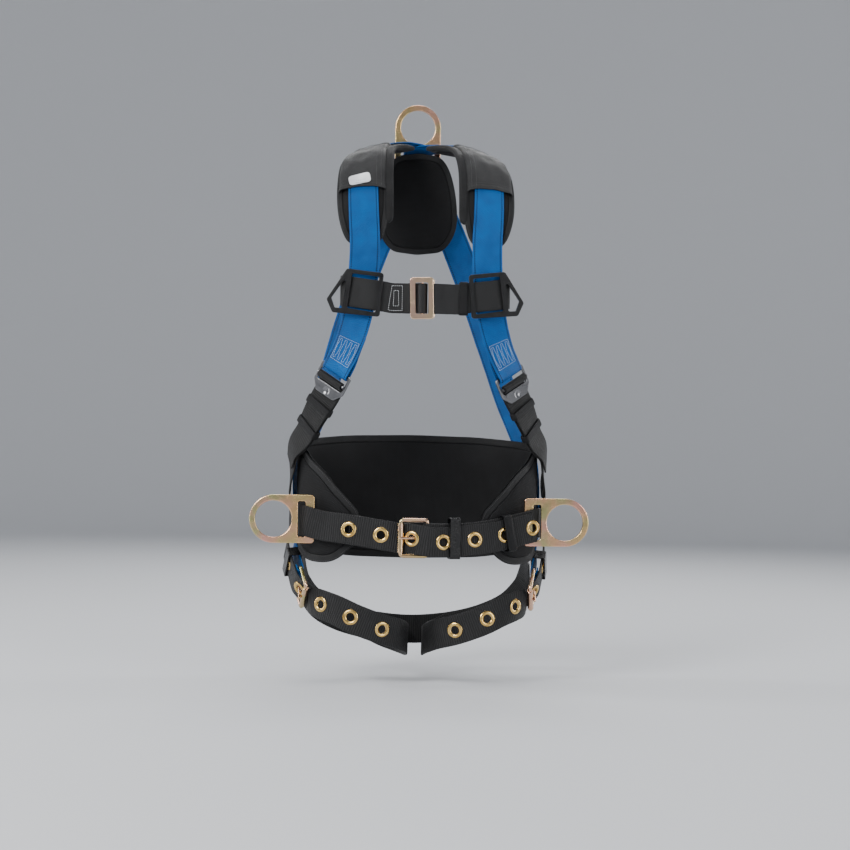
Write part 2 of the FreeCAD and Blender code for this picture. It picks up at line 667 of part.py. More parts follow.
def make_waist_pad():
    left = [waist_row(a, PAD_INSET, low, high) for a, low, high in PAD_EDGES]
    right = [waist_row(-a, PAD_INSET, low, high) for a, low, high in reversed(PAD_EDGES[:-1])]
    save("waist_pad", ribbon(left + right, PAD_THICK))


# The belt bulges over the bar of each side ring, goes through the slot and on behind the plate
BELT_RING_ROWS = [
    row(147, -84.5, -553, 0.42, -0.9, 0), row(163, -78.5, -549.5, 0.44, -0.9, 0),
    row(173, -73.6, -546.5, 0.56, -0.83, 0), row(179.8, -66.0, -545.2, 0.8, -0.6, 0),
    row(186.3, -54, -545, 0.9, -0.43, 0), row(191.5, -38, -545, 0.96, -0.25, 0),
    row(194.5, -20, -545, 1, -0.1, 0), row(195, 0, -545, 1, 0, 0),
]
BELT_BACK_ANGLES = (104, 120, 138, 158, 180)
BELT_CROSSING = 16.5     # roller axis to the place where the prong goes through the webbing


def belt_rows():
    """From the sewn end behind the buckle, round the waist, to the free end."""
    hinge = BELT_BUCKLE + Vector(BELT_BUCKLE_SPAN / 2, 0, 0)
    radius = ROD_RADIUS + LOOP_RELIEF + WEB_THICK / 2
    forward = Vector(-1, 0, 0)
    out = Vector(0, -1, 0)
    rows = [row(37, -109.6, -568.5, 0, 1, 0), row(24, -111.4, -568.5, 0, 1, 0)]
    rows += wrap_rows(hinge, forward, out, radius, 180, 0, 4)
    rows += [row(26, -119.0, -568.5, 0.1, -1, 0), row(46, -114.6, -568, 0.15, -1, 0),
             row(74, -109.0, -566.5, 0.2, -1, 0), row(100, -102.6, -563, 0.27, -0.96, 0),
             row(124, -94.6, -558.5, 0.35, -0.94, 0)]
    rows += BELT_RING_ROWS
    rows += [waist_row(a, 0) for a in BELT_BACK_ANGLES]
    rows += [waist_row(-a, 0) for a in reversed(BELT_BACK_ANGLES[:-1])]
    rows += flip_x(reversed(BELT_RING_ROWS))
    rows += [row(-113, -99.5, -556.5, -0.27, -0.96, 0), row(-82, -106.8, -561, -0.15, -1, 0),
             row(-56, -110.2, -565, -0.08, -1, 0)]
    roller_x = BELT_BUCKLE.x - BELT_BUCKLE_SPAN / 2
    under = BELT_BUCKLE.y + ROLLER_RADIUS + 1.2 + WEB_THICK / 2
    over = BELT_BUCKLE.y - radius - WEB_THICK - 1.0
    rows += [row(roller_x, under, -568.5, 0, -1, 0),
             row(roller_x + BELT_CROSSING, BELT_BUCKLE.y - 3.0, -568.8, -0.5, -0.87, 0),
             row(roller_x + 28, BELT_BUCKLE.y - 6.9, -570.5, -0.2, -0.98, 0),
             row(hinge.x, over, -572.5, 0, -1, 0)]
    rows += [row(29, -122.9, -573.5, 0.15, -1, 0), row(52, -117.8, -572, 0.15, -1, 0),
             row(78, -112.4, -569.5, 0.2, -1, 0), row(104, -105.6, -566.5, 0.27, -0.96, 0),
             row(128, -97.8, -562, 0.35, -0.94, 0), row(148, -89.2, -557, 0.42, -0.9, 0),
             row(163, -82.8, -553.5, 0.44, -0.9, 0), row(175.2, -76.6, -551, 0.5, -0.87, 0)]
    return rows


BELT_GROMMET_PITCH = 49.0
BELT_GROMMETS_BEFORE = 2
BELT_GROMMETS_AFTER = 4
BELT_ROWS_AFTER_CROSSING = 10


def make_belt():
    rows = belt_rows()
    crossing = len(rows) - 1 - BELT_ROWS_AFTER_CROSSING
    places = spaced_stations(rows, crossing, BELT_GROMMET_PITCH, BELT_GROMMETS_BEFORE, BELT_GROMMETS_AFTER)
    strap = punched(ribbon(rows, WEB_THICK), places)
    hinge_x = BELT_BUCKLE.x + BELT_BUCKLE_SPAN / 2
    slit = block(Vector(hinge_x - 6.4, -124.3, BELT_BUCKLE.z - PRONG_SLIT_HALF),
                 Vector(hinge_x + 7.7, -109.6, BELT_BUCKLE.z + PRONG_SLIT_HALF))
    save("waist_belt", strap.cut(slit))
    save("belt_grommets", grommets_at(places))


def make_belt_buckle():
    across = Vector(1, 0, 0)
    out = Vector(0, -1, 0)
    origin = BELT_BUCKLE - Vector(BELT_BUCKLE_SPAN / 2, 0, 0)
    frame = buckle_frame(BELT_BUCKLE_SPAN, BELT_BUCKLE_TALL)
    save("belt_buckle_frame", placed(frame, origin, across, out))
    save("belt_buckle_roller", placed(buckle_roller(BELT_BUCKLE_TALL), origin, across, out))
    prong = buckle_prong(BELT_BUCKLE_SPAN, ROLLER_RADIUS + 2.9, 24.0)
    save("belt_buckle_prong", placed(prong, origin, across, out))


def hoop(length, height, depth, wall):
    """A rectangular keeper loop: its opening runs along X, and it is centred on the origin."""
    outer = rounded_plate(height + 2 * wall, depth + 2 * wall, length, 2.2, 0.5)
    inner = rounded_plate(height, depth, length + 2, 1.0, 0)
    loop = outer.cut(inner)
    loop.rotate(Vector(0, 0, 0), Vector(0, 1, 0), 90)
    return loop


def make_belt_keepers():
    plastic = hoop(16.0, 57.0, 11.4, 2.2)
    place = Vector(48.5, -116.6, -567.8)
    save("belt_keeper", placed(plastic, place, Vector(1, 0.21, 0), Vector(0, 0, 1)))
    elastic = hoop(14.0, 53.5, 14.0, 1.2)
    along = unit(Vector(0.93, 0.37, 0.21))
    upward = unit(Vector(0, 0, 1) - along * along.z)
    save("belt_label_keeper", placed(elastic, Vector(132.0, -95.0, -559.4), along, upward))


# ---------------------------------------------------------------- legs

def leg_strap_rows():
    """From the sewn end on the seat strap, round the thigh, to the free end above the buckle."""
    under = -(ROLLER_RADIUS + 0.8 + WEB_THICK / 2)
    over = BLUE_LOOP + BLUE_THICK / 2 + 1.0 + WEB_THICK / 2
    roller = LEG_BUCKLE_ROLLER
    rows = [row(64, 97.4, -718, 0.1, 0.98, -0.15), row(45, 94.5, -727, -0.1, 0.97, -0.15),
            row(28, 82, -733, -0.55, 0.83, -0.05), row(17, 58, -736, -0.95, 0.3, 0),
            row(13, 12, -733, -1, 0, 0), row(15, -34, -725, -0.95, -0.3, 0),
            row(28, -66, -716, -0.6, -0.8, 0), row(57, -84, -707, -0.15, -1, 0),
            row(95, -89, -693, 0.05, -1, 0), row(127, -79.5, -679, 0.4, -0.92, 0),
            row(148, -67, -672, 0.72, -0.68, 0)]
    rows += [leg_row(roller, -5, under - 0.6), leg_row(roller, 3, under)]
    rows += [leg_row(roller, BELT_CROSSING, 2.6), leg_row(roller, 27, 6.9), leg_row(LEG_HINGE, 0, over)]
    rows += [leg_row(LEG_HINGE, 22, over), leg_row(LEG_HINGE, 44, over), leg_row(LEG_HINGE, 58, over - 1.5)]
    return rows


LEG_GROMMET_PITCH = 52.0
LEG_GROMMETS_BEFORE = 3
LEG_GROMMETS_AFTER = 1
LEG_ROWS_AFTER_CROSSING = 5


def make_leg_straps():
    rows = leg_strap_rows()
    crossing = len(rows) - 1 - LEG_ROWS_AFTER_CROSSING
    places = spaced_stations(rows, crossing, LEG_GROMMET_PITCH, LEG_GROMMETS_BEFORE, LEG_GROMMETS_AFTER)
    save_pair("leg_strap", punched(ribbon(rows, WEB_THICK), places))
    save_pair("leg_grommets", grommets_at(places))


def make_leg_buckles():
    origin = LEG_BUCKLE_ROLLER
    frame = buckle_frame(LEG_BUCKLE_SPAN, BELT_BUCKLE_TALL)
    save_pair("leg_buckle_frame", placed(frame, origin, LEG_BUCKLE_UP, LEG_BUCKLE_OUT))
    roller = buckle_roller(BELT_BUCKLE_TALL)
    save_pair("leg_buckle_roller", placed(roller, origin, LEG_BUCKLE_UP, LEG_BUCKLE_OUT))
    prong = buckle_prong(LEG_BUCKLE_SPAN, ROLLER_RADIUS + 2.9, 23.0)
    save_pair("leg_buckle_prong", placed(prong, origin, LEG_BUCKLE_UP, LEG_BUCKLE_OUT))


def make_leg_keepers():
    loop = hoop(15.0, 49.0, 19.0, 1.8)
    place = LEG_HINGE + LEG_BUCKLE_UP * 31 + LEG_BUCKLE_OUT * 2.2
    across = LEG_BUCKLE_UP.cross(LEG_BUCKLE_OUT)
    save_pair("leg_keeper", placed(loop, place, LEG_BUCKLE_UP, across))


def make_seat_strap():
    half = [row(175, 38, -606, 1, 0.15, 0), row(174, 47, -632, 0.95, 0.3, -0.05),
            row(170, 56, -655, 0.83, 0.55, -0.1), row(149, 79, -684, 0.6, 0.78, -0.15),
            row(116, 94, -703, 0.3, 0.94, -0.15), row(76, 101, -715, 0.1, 0.98, -0.15),
            row(36, 102, -721, 0, 0.98, -0.15), row(0, 102, -723, 0, 0.98, -0.15)]
    save("seat_strap", ribbon(half + flip_x(reversed(half[:-1])), WEB_THICK))


# ---------------------------------------------------------------- rings and build

def make_rings():
    forging = ring_forging()
    save_pair("side_ring", placed(forging, SIDE_RING_AXIS, Vector(1, 0, 0), Vector(0, -1, 0)))
    save("dorsal_ring", placed(forging, DORSAL_RING_AXIS, Vector(0, 0, 1), Vector(0, 1, 0)))


make_main_straps()
make_shoulder_pads()
make_dorsal_pad()
make_lanyard_keepers()
make_chest_straps()
make_chest_buckle()
make_torso_adjusters()
make_torso_straps()
make_torso_keepers()
make_waist_pad()
make_belt()
make_belt_buckle()
make_belt_keepers()
make_leg_straps()
make_leg_buckles()
make_leg_keepers()
make_seat_strap()
make_rings()
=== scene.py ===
"""Full body safety harness: webbing, pads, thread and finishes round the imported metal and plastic."""
import math
import bpy
import numpy as np
from mathutils import Matrix, Vector
from mathutils.bvhtree import BVHTree


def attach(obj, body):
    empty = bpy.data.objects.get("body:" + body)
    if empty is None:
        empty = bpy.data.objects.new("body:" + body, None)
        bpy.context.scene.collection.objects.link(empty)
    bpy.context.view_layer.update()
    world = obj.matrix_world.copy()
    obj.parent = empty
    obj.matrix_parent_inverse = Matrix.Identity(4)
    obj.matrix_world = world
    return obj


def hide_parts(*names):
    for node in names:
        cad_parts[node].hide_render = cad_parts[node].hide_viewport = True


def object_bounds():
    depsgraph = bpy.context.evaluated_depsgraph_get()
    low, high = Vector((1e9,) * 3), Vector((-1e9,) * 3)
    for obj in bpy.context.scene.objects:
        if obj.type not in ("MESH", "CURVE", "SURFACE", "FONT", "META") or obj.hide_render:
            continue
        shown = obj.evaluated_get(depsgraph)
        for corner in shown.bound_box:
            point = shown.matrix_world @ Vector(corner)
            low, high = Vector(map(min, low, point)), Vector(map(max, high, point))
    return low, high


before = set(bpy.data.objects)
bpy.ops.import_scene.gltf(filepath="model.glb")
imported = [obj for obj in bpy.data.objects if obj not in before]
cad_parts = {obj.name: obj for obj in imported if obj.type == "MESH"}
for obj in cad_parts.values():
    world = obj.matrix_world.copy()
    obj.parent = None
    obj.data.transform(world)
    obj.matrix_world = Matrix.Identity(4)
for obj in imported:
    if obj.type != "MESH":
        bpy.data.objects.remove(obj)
cad_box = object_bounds()
MM = 0.001
rng = np.random.default_rng(7)

# ---------------------------------------------------------------- camera, light, floor


CAMERA_LENS = 96.0
CAMERA_REACH = 3.4
CAMERA_TURN = math.radians(-4.0)
CAMERA_ROLL = math.radians(1.0)
CAMERA_AIM = Vector((0.0033, -0.1, -0.399))
LIGHT_AIM = Vector((0, 0, -0.35))
FLOOR_DROP = 0.035
FLOOR_FLAT = 4.4
FLOOR_BEND = 1.6
FLOOR_TOP = 4.5
FLOOR_SIDES = 96


def link(made):
    bpy.context.scene.collection.objects.link(made)
    return made


def make_camera():
    camera = link(bpy.data.objects.new("camera", bpy.data.cameras.new("camera")))
    camera.data.lens = CAMERA_LENS
    camera.data.sensor_width = 36.0
    away = Vector((math.sin(CAMERA_TURN), -math.cos(CAMERA_TURN), 0))
    camera.location = CAMERA_AIM + away * CAMERA_REACH
    camera.rotation_euler = (Matrix.Rotation(CAMERA_TURN, 4, "Z") @ Matrix.Rotation(math.radians(90), 4, "X")
                             @ Matrix.Rotation(CAMERA_ROLL, 4, "Z")).to_euler()
    bpy.context.scene.camera = camera


def add_lamp(name, place, size, power):
    """A soft rectangle of light aimed at the middle of the harness."""
    light = bpy.data.lights.new(name, "AREA")
    light.shape = "RECTANGLE"
    light.size, light.size_y = size
    light.energy = power
    lamp = link(bpy.data.objects.new(name, light))
    lamp.location = place
    lamp.rotation_euler = (LIGHT_AIM - Vector(place)).to_track_quat("-Z", "Y").to_euler()


def make_lights():
    add_lamp("key", (-1.9, -2.6, 1.3), (1.2, 1.6), 105)
    add_lamp("fill", (2.2, -2.4, 0.1), (1.0, 1.8), 34)
    add_lamp("strip_left", (-2.4, 0.5, 0.2), (0.4, 2.4), 34)
    add_lamp("strip_right", (2.4, 0.9, 0.2), (0.4, 2.4), 30)
    add_lamp("back_fill", (0.4, 2.9, 1.5), (2.0, 1.2), 46)
    add_lamp("top", (0.0, -0.2, 2.6), (1.4, 1.4), 34)
    world = bpy.data.worlds.new("studio")
    world.use_nodes = True
    background = world.node_tree.nodes["Background"]
    background.inputs["Color"].default_value = (0.74, 0.77, 0.82, 1)
    background.inputs["Strength"].default_value = 0.5
    bpy.context.scene.world = world


def make_floor():
    """A round floor that bends up into a wall on all sides."""
    low = cad_box[0][2] - FLOOR_DROP
    profile = [(0.0, 0.0), (2.0, 0.0), (FLOOR_FLAT, 0.0)]
    profile += [(FLOOR_FLAT + FLOOR_BEND * math.sin(a), FLOOR_BEND - FLOOR_BEND * math.cos(a))
                for a in np.linspace(0.1, math.pi / 2, 14)]
    profile += [(FLOOR_FLAT + FLOOR_BEND, FLOOR_TOP)]
    sides = FLOOR_SIDES
    turns = np.arange(sides) * 2 * math.pi / sides
    verts = [(r * math.cos(t), r * math.sin(t), low + z) for r, z in profile for t in turns]
    faces = []
    for i in range(len(profile) - 1):
        for k in range(sides):
            m = (k + 1) % sides
            faces.append((i * sides + k, i * sides + m, (i + 1) * sides + m, (i + 1) * sides + k))
    mesh = bpy.data.meshes.new("floor")
    mesh.from_pydata(verts, [], faces)
    mesh.shade_smooth()
    floor = link(bpy.data.objects.new("floor", mesh))
    mat = bpy.data.materials.new("floor")
    mat.use_nodes = True
    shader = mat.node_tree.nodes["Principled BSDF"]
    shader.inputs["Base Color"].default_value = (0.6, 0.61, 0.63, 1)
    shader.inputs["Roughness"].default_value = 0.85
    mesh.materials.append(mat)


make_camera()
make_lights()
make_floor()

# ---------------------------------------------------------------- materials


class Nodes:
    """A short way to write a node tree for one Principled material."""

    def __init__(self, name, color, rough, **values):
        self.mat = bpy.data.materials.new(name)
        self.mat.use_nodes = True
        self.tree = self.mat.node_tree
        self.shader = self.tree.nodes["Principled BSDF"]
        self.shader.inputs["Base Color"].default_value = (*color, 1)
        self.shader.inputs["Roughness"].default_value = rough
        for key, value in values.items():
            self.shader.inputs[key.replace("_", " ")].default_value = value

    def node(self, kind, inputs=(), **settings):
        made = self.tree.nodes.new(kind)
        for key, value in settings.items():
            setattr(made, key, value)
        for key, value in dict(inputs).items():
            self.put(made.inputs[key], value)
        return made

    def put(self, socket, value):
        if hasattr(value, "links"):
            self.tree.links.new(value, socket)
        else:
            socket.default_value = value

    def math(self, operation, a, b=0.0, c=0.0):
        return self.node("ShaderNodeMath", {0: a, 1: b, 2: c}, operation=operation).outputs[0]

    def uv(self):
        weave = self.node("ShaderNodeUVMap", uv_map="weave")
        split = self.node("ShaderNodeSeparateXYZ", {0: weave.outputs[0]})
        return split.outputs[0], split.outputs[1]

    def position(self):
        return self.node("ShaderNodeTexCoord").outputs["Object"]

    def noise(self, scale, detail=3.0, rough=0.55, vector=None):
        inputs = {"Vector": vector or self.position(), "Scale": scale, "Detail": detail, "Roughness": rough}
        return self.node("ShaderNodeTexNoise", inputs).outputs["Fac"]

    def spread(self, value, low, high, out_low, out_high):
        inputs = {"Value": value, "From Min": low, "From Max": high, "To Min": out_low, "To Max": out_high}
        return self.node("ShaderNodeMapRange", inputs).outputs["Result"]

    def patches(self, scale, low, high, detail=3.0):
        """Soft patches that drift between two values."""
        return self.spread(self.noise(scale, detail), 0.3, 0.7, low, high)

    def mix(self, factor, a, b):
        made = self.node("ShaderNodeMix", data_type="RGBA")
        self.put(made.inputs[0], factor)
        for socket, value in ((made.inputs[6], a), (made.inputs[7], b)):
            self.put(socket, (*value, 1) if isinstance(value, tuple) else value)
        return made.outputs[2]

    def color(self, value):
        self.tree.links.new(value, self.shader.inputs["Base Color"])

    def rough(self, value):
        self.tree.links.new(value, self.shader.inputs["Roughness"])

    def bump(self, height, distance, strength=1.0):
        inputs = {"Height": height, "Distance": distance, "Strength": strength}
        previous = self.shader.inputs["Normal"].links
        if previous:
            inputs["Normal"] = previous[0].from_socket
        made = self.node("ShaderNodeBump", inputs)
        self.tree.links.new(made.outputs["Normal"], self.shader.inputs["Normal"])

    def wave(self, value, pitch, offset=0.0):
        """A smooth 0..1 wave of the given pitch."""
        turned = self.math("MULTIPLY_ADD", value, 2 * math.pi / pitch, offset)
        return self.math("MULTIPLY_ADD", self.math("SINE", turned), 0.5, 0.5)


def scaled(color, factor):
    return tuple(c * factor for c in color)


def yarn_height(n, across, along, pitch_across, pitch_along):
    """Woven yarns: columns along the run, each shifted by half a step from its neighbour."""
    column = n.math("FLOOR", n.math("DIVIDE", across, pitch_across))
    shift = n.math("MULTIPLY", column, math.pi * 0.62)
    over = n.math("SINE", n.math("ADD", n.math("MULTIPLY", along, 2 * math.pi / pitch_along), shift))
    ridge = n.math("ABSOLUTE", n.math("SINE", n.math("MULTIPLY", across, math.pi / pitch_across)))
    return n.math("MULTIPLY", ridge, n.math("MULTIPLY_ADD", over, 0.3, 0.7))


TRACER_PLACE = 0.0192
TRACER_HALF = 0.00085


def blue_webbing():
    """Blue twill webbing with a dashed tracer line near each edge."""
    n = Nodes("blue_webbing", (0.0, 0.1, 0.36), 0.5, Specular_IOR_Level=0.2)
    across, along = n.uv()
    height = yarn_height(n, across, along, 0.00085, 0.0024)
    twill = n.wave(n.math("MULTIPLY_ADD", across, 0.8, along), 0.0036)
    height = n.math("MULTIPLY_ADD", twill, 0.6, height)
    n.bump(height, 0.00035)
    tone = n.patches(38.0, 0.0, 1.0, 4.0)
    base = n.mix(tone, (0.0, 0.072, 0.26), (0.0, 0.112, 0.39))
    # Painted shade: deeper blue in the low parts of the weave and twill lines, where the yarns dip.
    base = n.mix(n.math("MULTIPLY", n.math("SUBTRACT", 1.0, height), 0.3), base, (0.0, 0.03, 0.13))
    edge = n.math("ABSOLUTE", n.math("SUBTRACT", n.math("ABSOLUTE", across), TRACER_PLACE))
    line = n.math("LESS_THAN", edge, TRACER_HALF)
    dash = n.math("LESS_THAN", n.math("FRACT", n.math("DIVIDE", along, 0.0034)), 0.6)
    n.color(n.mix(n.math("MULTIPLY", line, dash), base, (0.001, 0.002, 0.004)))
    n.rough(n.patches(90.0, 0.42, 0.56))
    return n.mat


def black_webbing(name, base, rib_pitch, rough):
    """Woven black webbing with painted shade in the low parts of its weave and painted light on the yarn
    tops; rib_pitch gives it painted shade in the grooves between its cross ribs.
    """
    n = Nodes(name, base, rough, Specular_IOR_Level=0.32, Sheen_Weight=0.04)
    across, along = n.uv()
    height = yarn_height(n, across, along, 0.0011, 0.0023)
    n.bump(height, 0.00022)
    tone = n.patches(30.0, 0.7, 1.3, 5.0)
    # Painted shade and light: dark in the weave's low parts, light on its high yarns, times a random tone.
    dark = scaled(base, 0.12)
    light = scaled(base, 2.4)
    painted_weave_shade = n.math("MULTIPLY", height, n.math("MULTIPLY", tone, 0.75))
    if rib_pitch:
        # Painted shade in the grooves between the cross ribs, in step with the ribs of the geometry.
        rib = n.spread(n.wave(along, rib_pitch, math.pi / 2), 0.3, 0.7, 0.0, 1.3)
        painted_weave_shade = n.math("MULTIPLY", painted_weave_shade, rib)
    n.color(n.mix(painted_weave_shade, dark, light))
    n.rough(n.patches(120.0, rough - 0.06, rough + 0.08))
    return n.mat


HOLE_ROW = 0.0019
HOLE_PITCH = 0.0026


def mesh_fabric():
    """Spacer mesh: rows of small holes, every second row shifted by half a step."""
    n = Nodes("mesh_fabric", (0.006, 0.006, 0.0065), 0.75, Specular_IOR_Level=0.25)
    across, along = n.uv()
    row = n.math("FLOOR", n.math("DIVIDE", along, HOLE_ROW))
    shift = n.math("MULTIPLY", n.math("MODULO", n.math("ABSOLUTE", row), 2.0), 0.5)
    x = n.math("SUBTRACT", n.math("FRACT", n.math("ADD", n.math("DIVIDE", across, HOLE_PITCH), shift)), 0.5)
    y = n.math("SUBTRACT", n.math("FRACT", n.math("DIVIDE", along, HOLE_ROW)), 0.5)
    reach = n.math("SQRT", n.math("ADD", n.math("MULTIPLY", x, x), n.math("MULTIPLY", y, y)))
    solid = n.spread(reach, 0.2, 0.4, 0.0, 1.0)
    n.bump(solid, 0.0005)
    tone = n.patches(25.0, 0.6, 1.0, 4.0)
    # Painted shade in the holes: near black there, with the solid mesh between them dark grey with random
    # tone.
    n.color(n.mix(n.math("MULTIPLY", solid, tone), (0.001, 0.001, 0.001), (0.012, 0.012, 0.013)))
    return n.mat


def plain_cloth(name, base, rough, grain, sheen=0.06, pitch=0.0011):
    """Close woven cloth, with broad soft creases."""
    n = Nodes(name, base, rough, Sheen_Weight=sheen, Specular_IOR_Level=0.3)
    across, along = n.uv()
    weave = n.math("MULTIPLY", n.wave(across, pitch), n.wave(along, pitch * 0.8, 1.2))
    n.bump(weave, grain)
    n.bump(n.noise(45.0, 3.0), 0.0012, 0.5)
    tone = n.patches(28.0, 0.0, 1.0, 5.0)
    n.color(n.mix(tone, scaled(base, 0.75), scaled(base, 1.3)))
    n.rough(n.patches(60.0, rough - 0.08, rough + 0.08))
    return n.mat


def thread(name, base):
    n = Nodes(name, base, 0.5, Sheen_Weight=0.3)
    n.bump(n.noise(2500.0, 2.0), 0.0001)
    n.color(n.mix(n.noise(600.0, 2.0), scaled(base, 0.7), base))
    return n.mat


def zinc(name, pale, warm, tint, rough):
    """Clear and yellow zinc plating: the film's colour drifts between gold, pink and a little green."""
    n = Nodes(name, pale, rough, Metallic=1.0)
    drift = n.spread(n.noise(14.0, 2.0), 0.38, 0.62, 0.0, 1.0)
    base = n.mix(drift, pale, warm)
    patch = n.spread(n.noise(30.0, 2.0, 0.5), 0.46, 0.66, 0.0, 0.85)
    base = n.mix(patch, base, tint)
    speck = n.spread(n.noise(420.0, 3.0, 0.7), 0.66, 0.8, 0.0, 0.12)
    n.color(n.mix(speck, base, scaled(warm, 0.5)))
    n.rough(n.patches(140.0, rough - 0.05, rough + 0.08, 4.0))
    n.bump(n.noise(900.0, 3.0), 0.00001)
    n.bump(n.noise(60.0, 2.0), 0.00006, 0.3)
    return n.mat


def steel():
    n = Nodes("satin_steel", (0.3, 0.3, 0.31), 0.3, Metallic=1.0)
    streak = n.node("ShaderNodeMapping", {"Vector": n.position(), "Scale": (1.0, 1.0, 14.0)}).outputs[0]
    grain = n.noise(190.0, 4.0, 0.6, streak)
    n.color(n.mix(n.spread(grain, 0.3, 0.7, 0.0, 1.0), (0.17, 0.172, 0.18), (0.25, 0.25, 0.258)))
    n.rough(n.patches(130.0, 0.26, 0.36, 4.0))
    n.bump(grain, 0.00002)
    return n.mat


def brass():
    n = Nodes("brass", (0.74, 0.5, 0.17), 0.2, Metallic=1.0)
    tarnish = n.spread(n.noise(130.0, 4.0), 0.42, 0.68, 0.0, 0.8)
    n.color(n.mix(tarnish, (0.78, 0.53, 0.18), (0.5, 0.3, 0.09)))
    n.rough(n.patches(240.0, 0.14, 0.34, 3.0))
    n.bump(n.noise(1200.0), 0.00004)
    return n.mat


def moulded(name, base, rough):
    n = Nodes(name, base, rough, Coat_Weight=0.04, Coat_Roughness=0.3, Specular_IOR_Level=0.3)
    n.bump(n.noise(1500.0, 2.0), 0.00009)
    n.bump(n.noise(60.0, 2.0), 0.0004, 0.35)
    scuff = n.spread(n.noise(85.0, 5.0, 0.7), 0.55, 0.75, 0.0, 0.5)
    n.color(n.mix(scuff, base, tuple(c * 2.2 + 0.004 for c in base)))
    n.rough(n.patches(110.0, rough - 0.07, rough + 0.12, 4.0))
    return n.mat


def elastic():
    n = Nodes("elastic", (0.006, 0.006, 0.0065), 0.45, Specular_IOR_Level=0.22)
    across, along = n.uv()
    rib = n.wave(across, 0.0013)
    n.bump(rib, 0.0003)
    n.bump(n.wave(along, 0.0009), 0.0001)
    # Painted shade and light: darker between the ribs and lighter on them, following the ribs' bump.
    n.color(n.mix(rib, (0.002, 0.002, 0.0025), (0.009, 0.009, 0.01)))
    return n.mat


BLUE = blue_webbing()
RIB_PITCH = 3.5
RIBBED = black_webbing("ribbed_webbing", (0.011, 0.0108, 0.0112), RIB_PITCH * MM, 0.5)
DARK_RIBBED = black_webbing("dark_ribbed_webbing", (0.0055, 0.0054, 0.0056), RIB_PITCH * MM, 0.6)
SMOOTH = black_webbing("smooth_webbing", (0.0085, 0.0085, 0.0088), 0.0, 0.42)
MESH = mesh_fabric()
BINDING = plain_cloth("binding", (0.0055, 0.0055, 0.006), 0.6, 0.00012, 0.04, 0.0008)
SLEEVE = plain_cloth("sleeve_cloth", (0.0135, 0.0135, 0.014), 0.6, 0.0003, 0.08, 0.0011)
ROLL = plain_cloth("roll_cloth", (0.005, 0.005, 0.0055), 0.68, 0.0002, 0.04, 0.0009)
WHITE_THREAD = thread("white_thread", (0.75, 0.77, 0.8))
PALE_THREAD = thread("pale_blue_thread", (0.5, 0.66, 0.86))
GREY_THREAD = thread("grey_thread", (0.03, 0.03, 0.032))
ELASTIC = elastic()
LABEL = plain_cloth("label_cloth", (0.72, 0.73, 0.74), 0.45, 0.00008, 0.1, 0.0006)
RING_ZINC = zinc("ring_zinc", (0.88, 0.46, 0.38), (0.78, 0.5, 0.24), (0.5, 0.5, 0.22), 0.22)
CHEST_ZINC = zinc("chest_zinc", (1.0, 0.62, 0.5), (0.98, 0.68, 0.46), (0.92, 0.7, 0.44), 0.2)
BUCKLE_ZINC = zinc("buckle_zinc", (0.76, 0.48, 0.34), (0.6, 0.43, 0.19), (0.4, 0.42, 0.18), 0.16)
STEEL = steel()
BRASS = brass()
PLASTIC = moulded("moulded_black", (0.0055, 0.0055, 0.006), 0.34)
GLOSS = moulded("glossy_black", (0.004, 0.004, 0.0045), 0.2)


def dress_cad_nodes():
    """Gives each CAD node the finish of the first key found in its name."""
    finishes = {"ring": RING_ZINC, "chest_buckle": CHEST_ZINC, "buckle": BUCKLE_ZINC, "adjuster": STEEL,
                "grommets": BRASS, "lanyard_keeper": PLASTIC, "web_plate": PLASTIC, "keeper": GLOSS}
    for name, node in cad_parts.items():
        found = [mat for key, mat in finishes.items() if key in name]
        if not found:
            continue
        for i in range(max(1, len(node.material_slots))):
            if len(node.material_slots) <= i:
                node.data.materials.append(found[0])
            node.material_slots[i].material = found[0]


dress_cad_nodes()

# ---------------------------------------------------------------- runs of webbing


STRAP_WIDTH = 45.0
WEB_THICK = 2.4
BLENDS = 24
SIDES = (("left", False), ("right", True))


def vec(x, y, z):
    return np.array([x, y, z], float)


def unit(v):
    return v / np.linalg.norm(v)


def unit_rows(values):
    return values / np.linalg.norm(values, axis=1)[:, None]


def row(x, y, z, nx, ny, nz, width=STRAP_WIDTH):
    """A control row, in millimetres: a point, the outward direction there, and the width."""
    return (vec(x, y, z), unit(vec(nx, ny, nz)), width)


def distances(points):
    """How far along their line each of the points lies."""
    return np.concatenate([[0], np.cumsum(np.linalg.norm(np.diff(points, axis=0), axis=1))])


def read_off(goals, lengths, values):
    """Points or directions along a line, read off at the goals."""
    return np.stack([np.interp(goals, lengths, values[:, k]) for k in range(3)], 1)


def mirrored(verts, faces):
    """The same mesh on the other side of the body."""
    return verts * vec(-1, 1, 1), faces[:, ::-1]


def corners(index):
    """The four corners, in turn, of each cell in a grid of vertex numbers."""
    return index[:-1, :-1], index[:-1, 1:], index[1:, 1:], index[1:, :-1]


def quads(*places):
    return np.stack(places, -1).reshape(-1, 4)


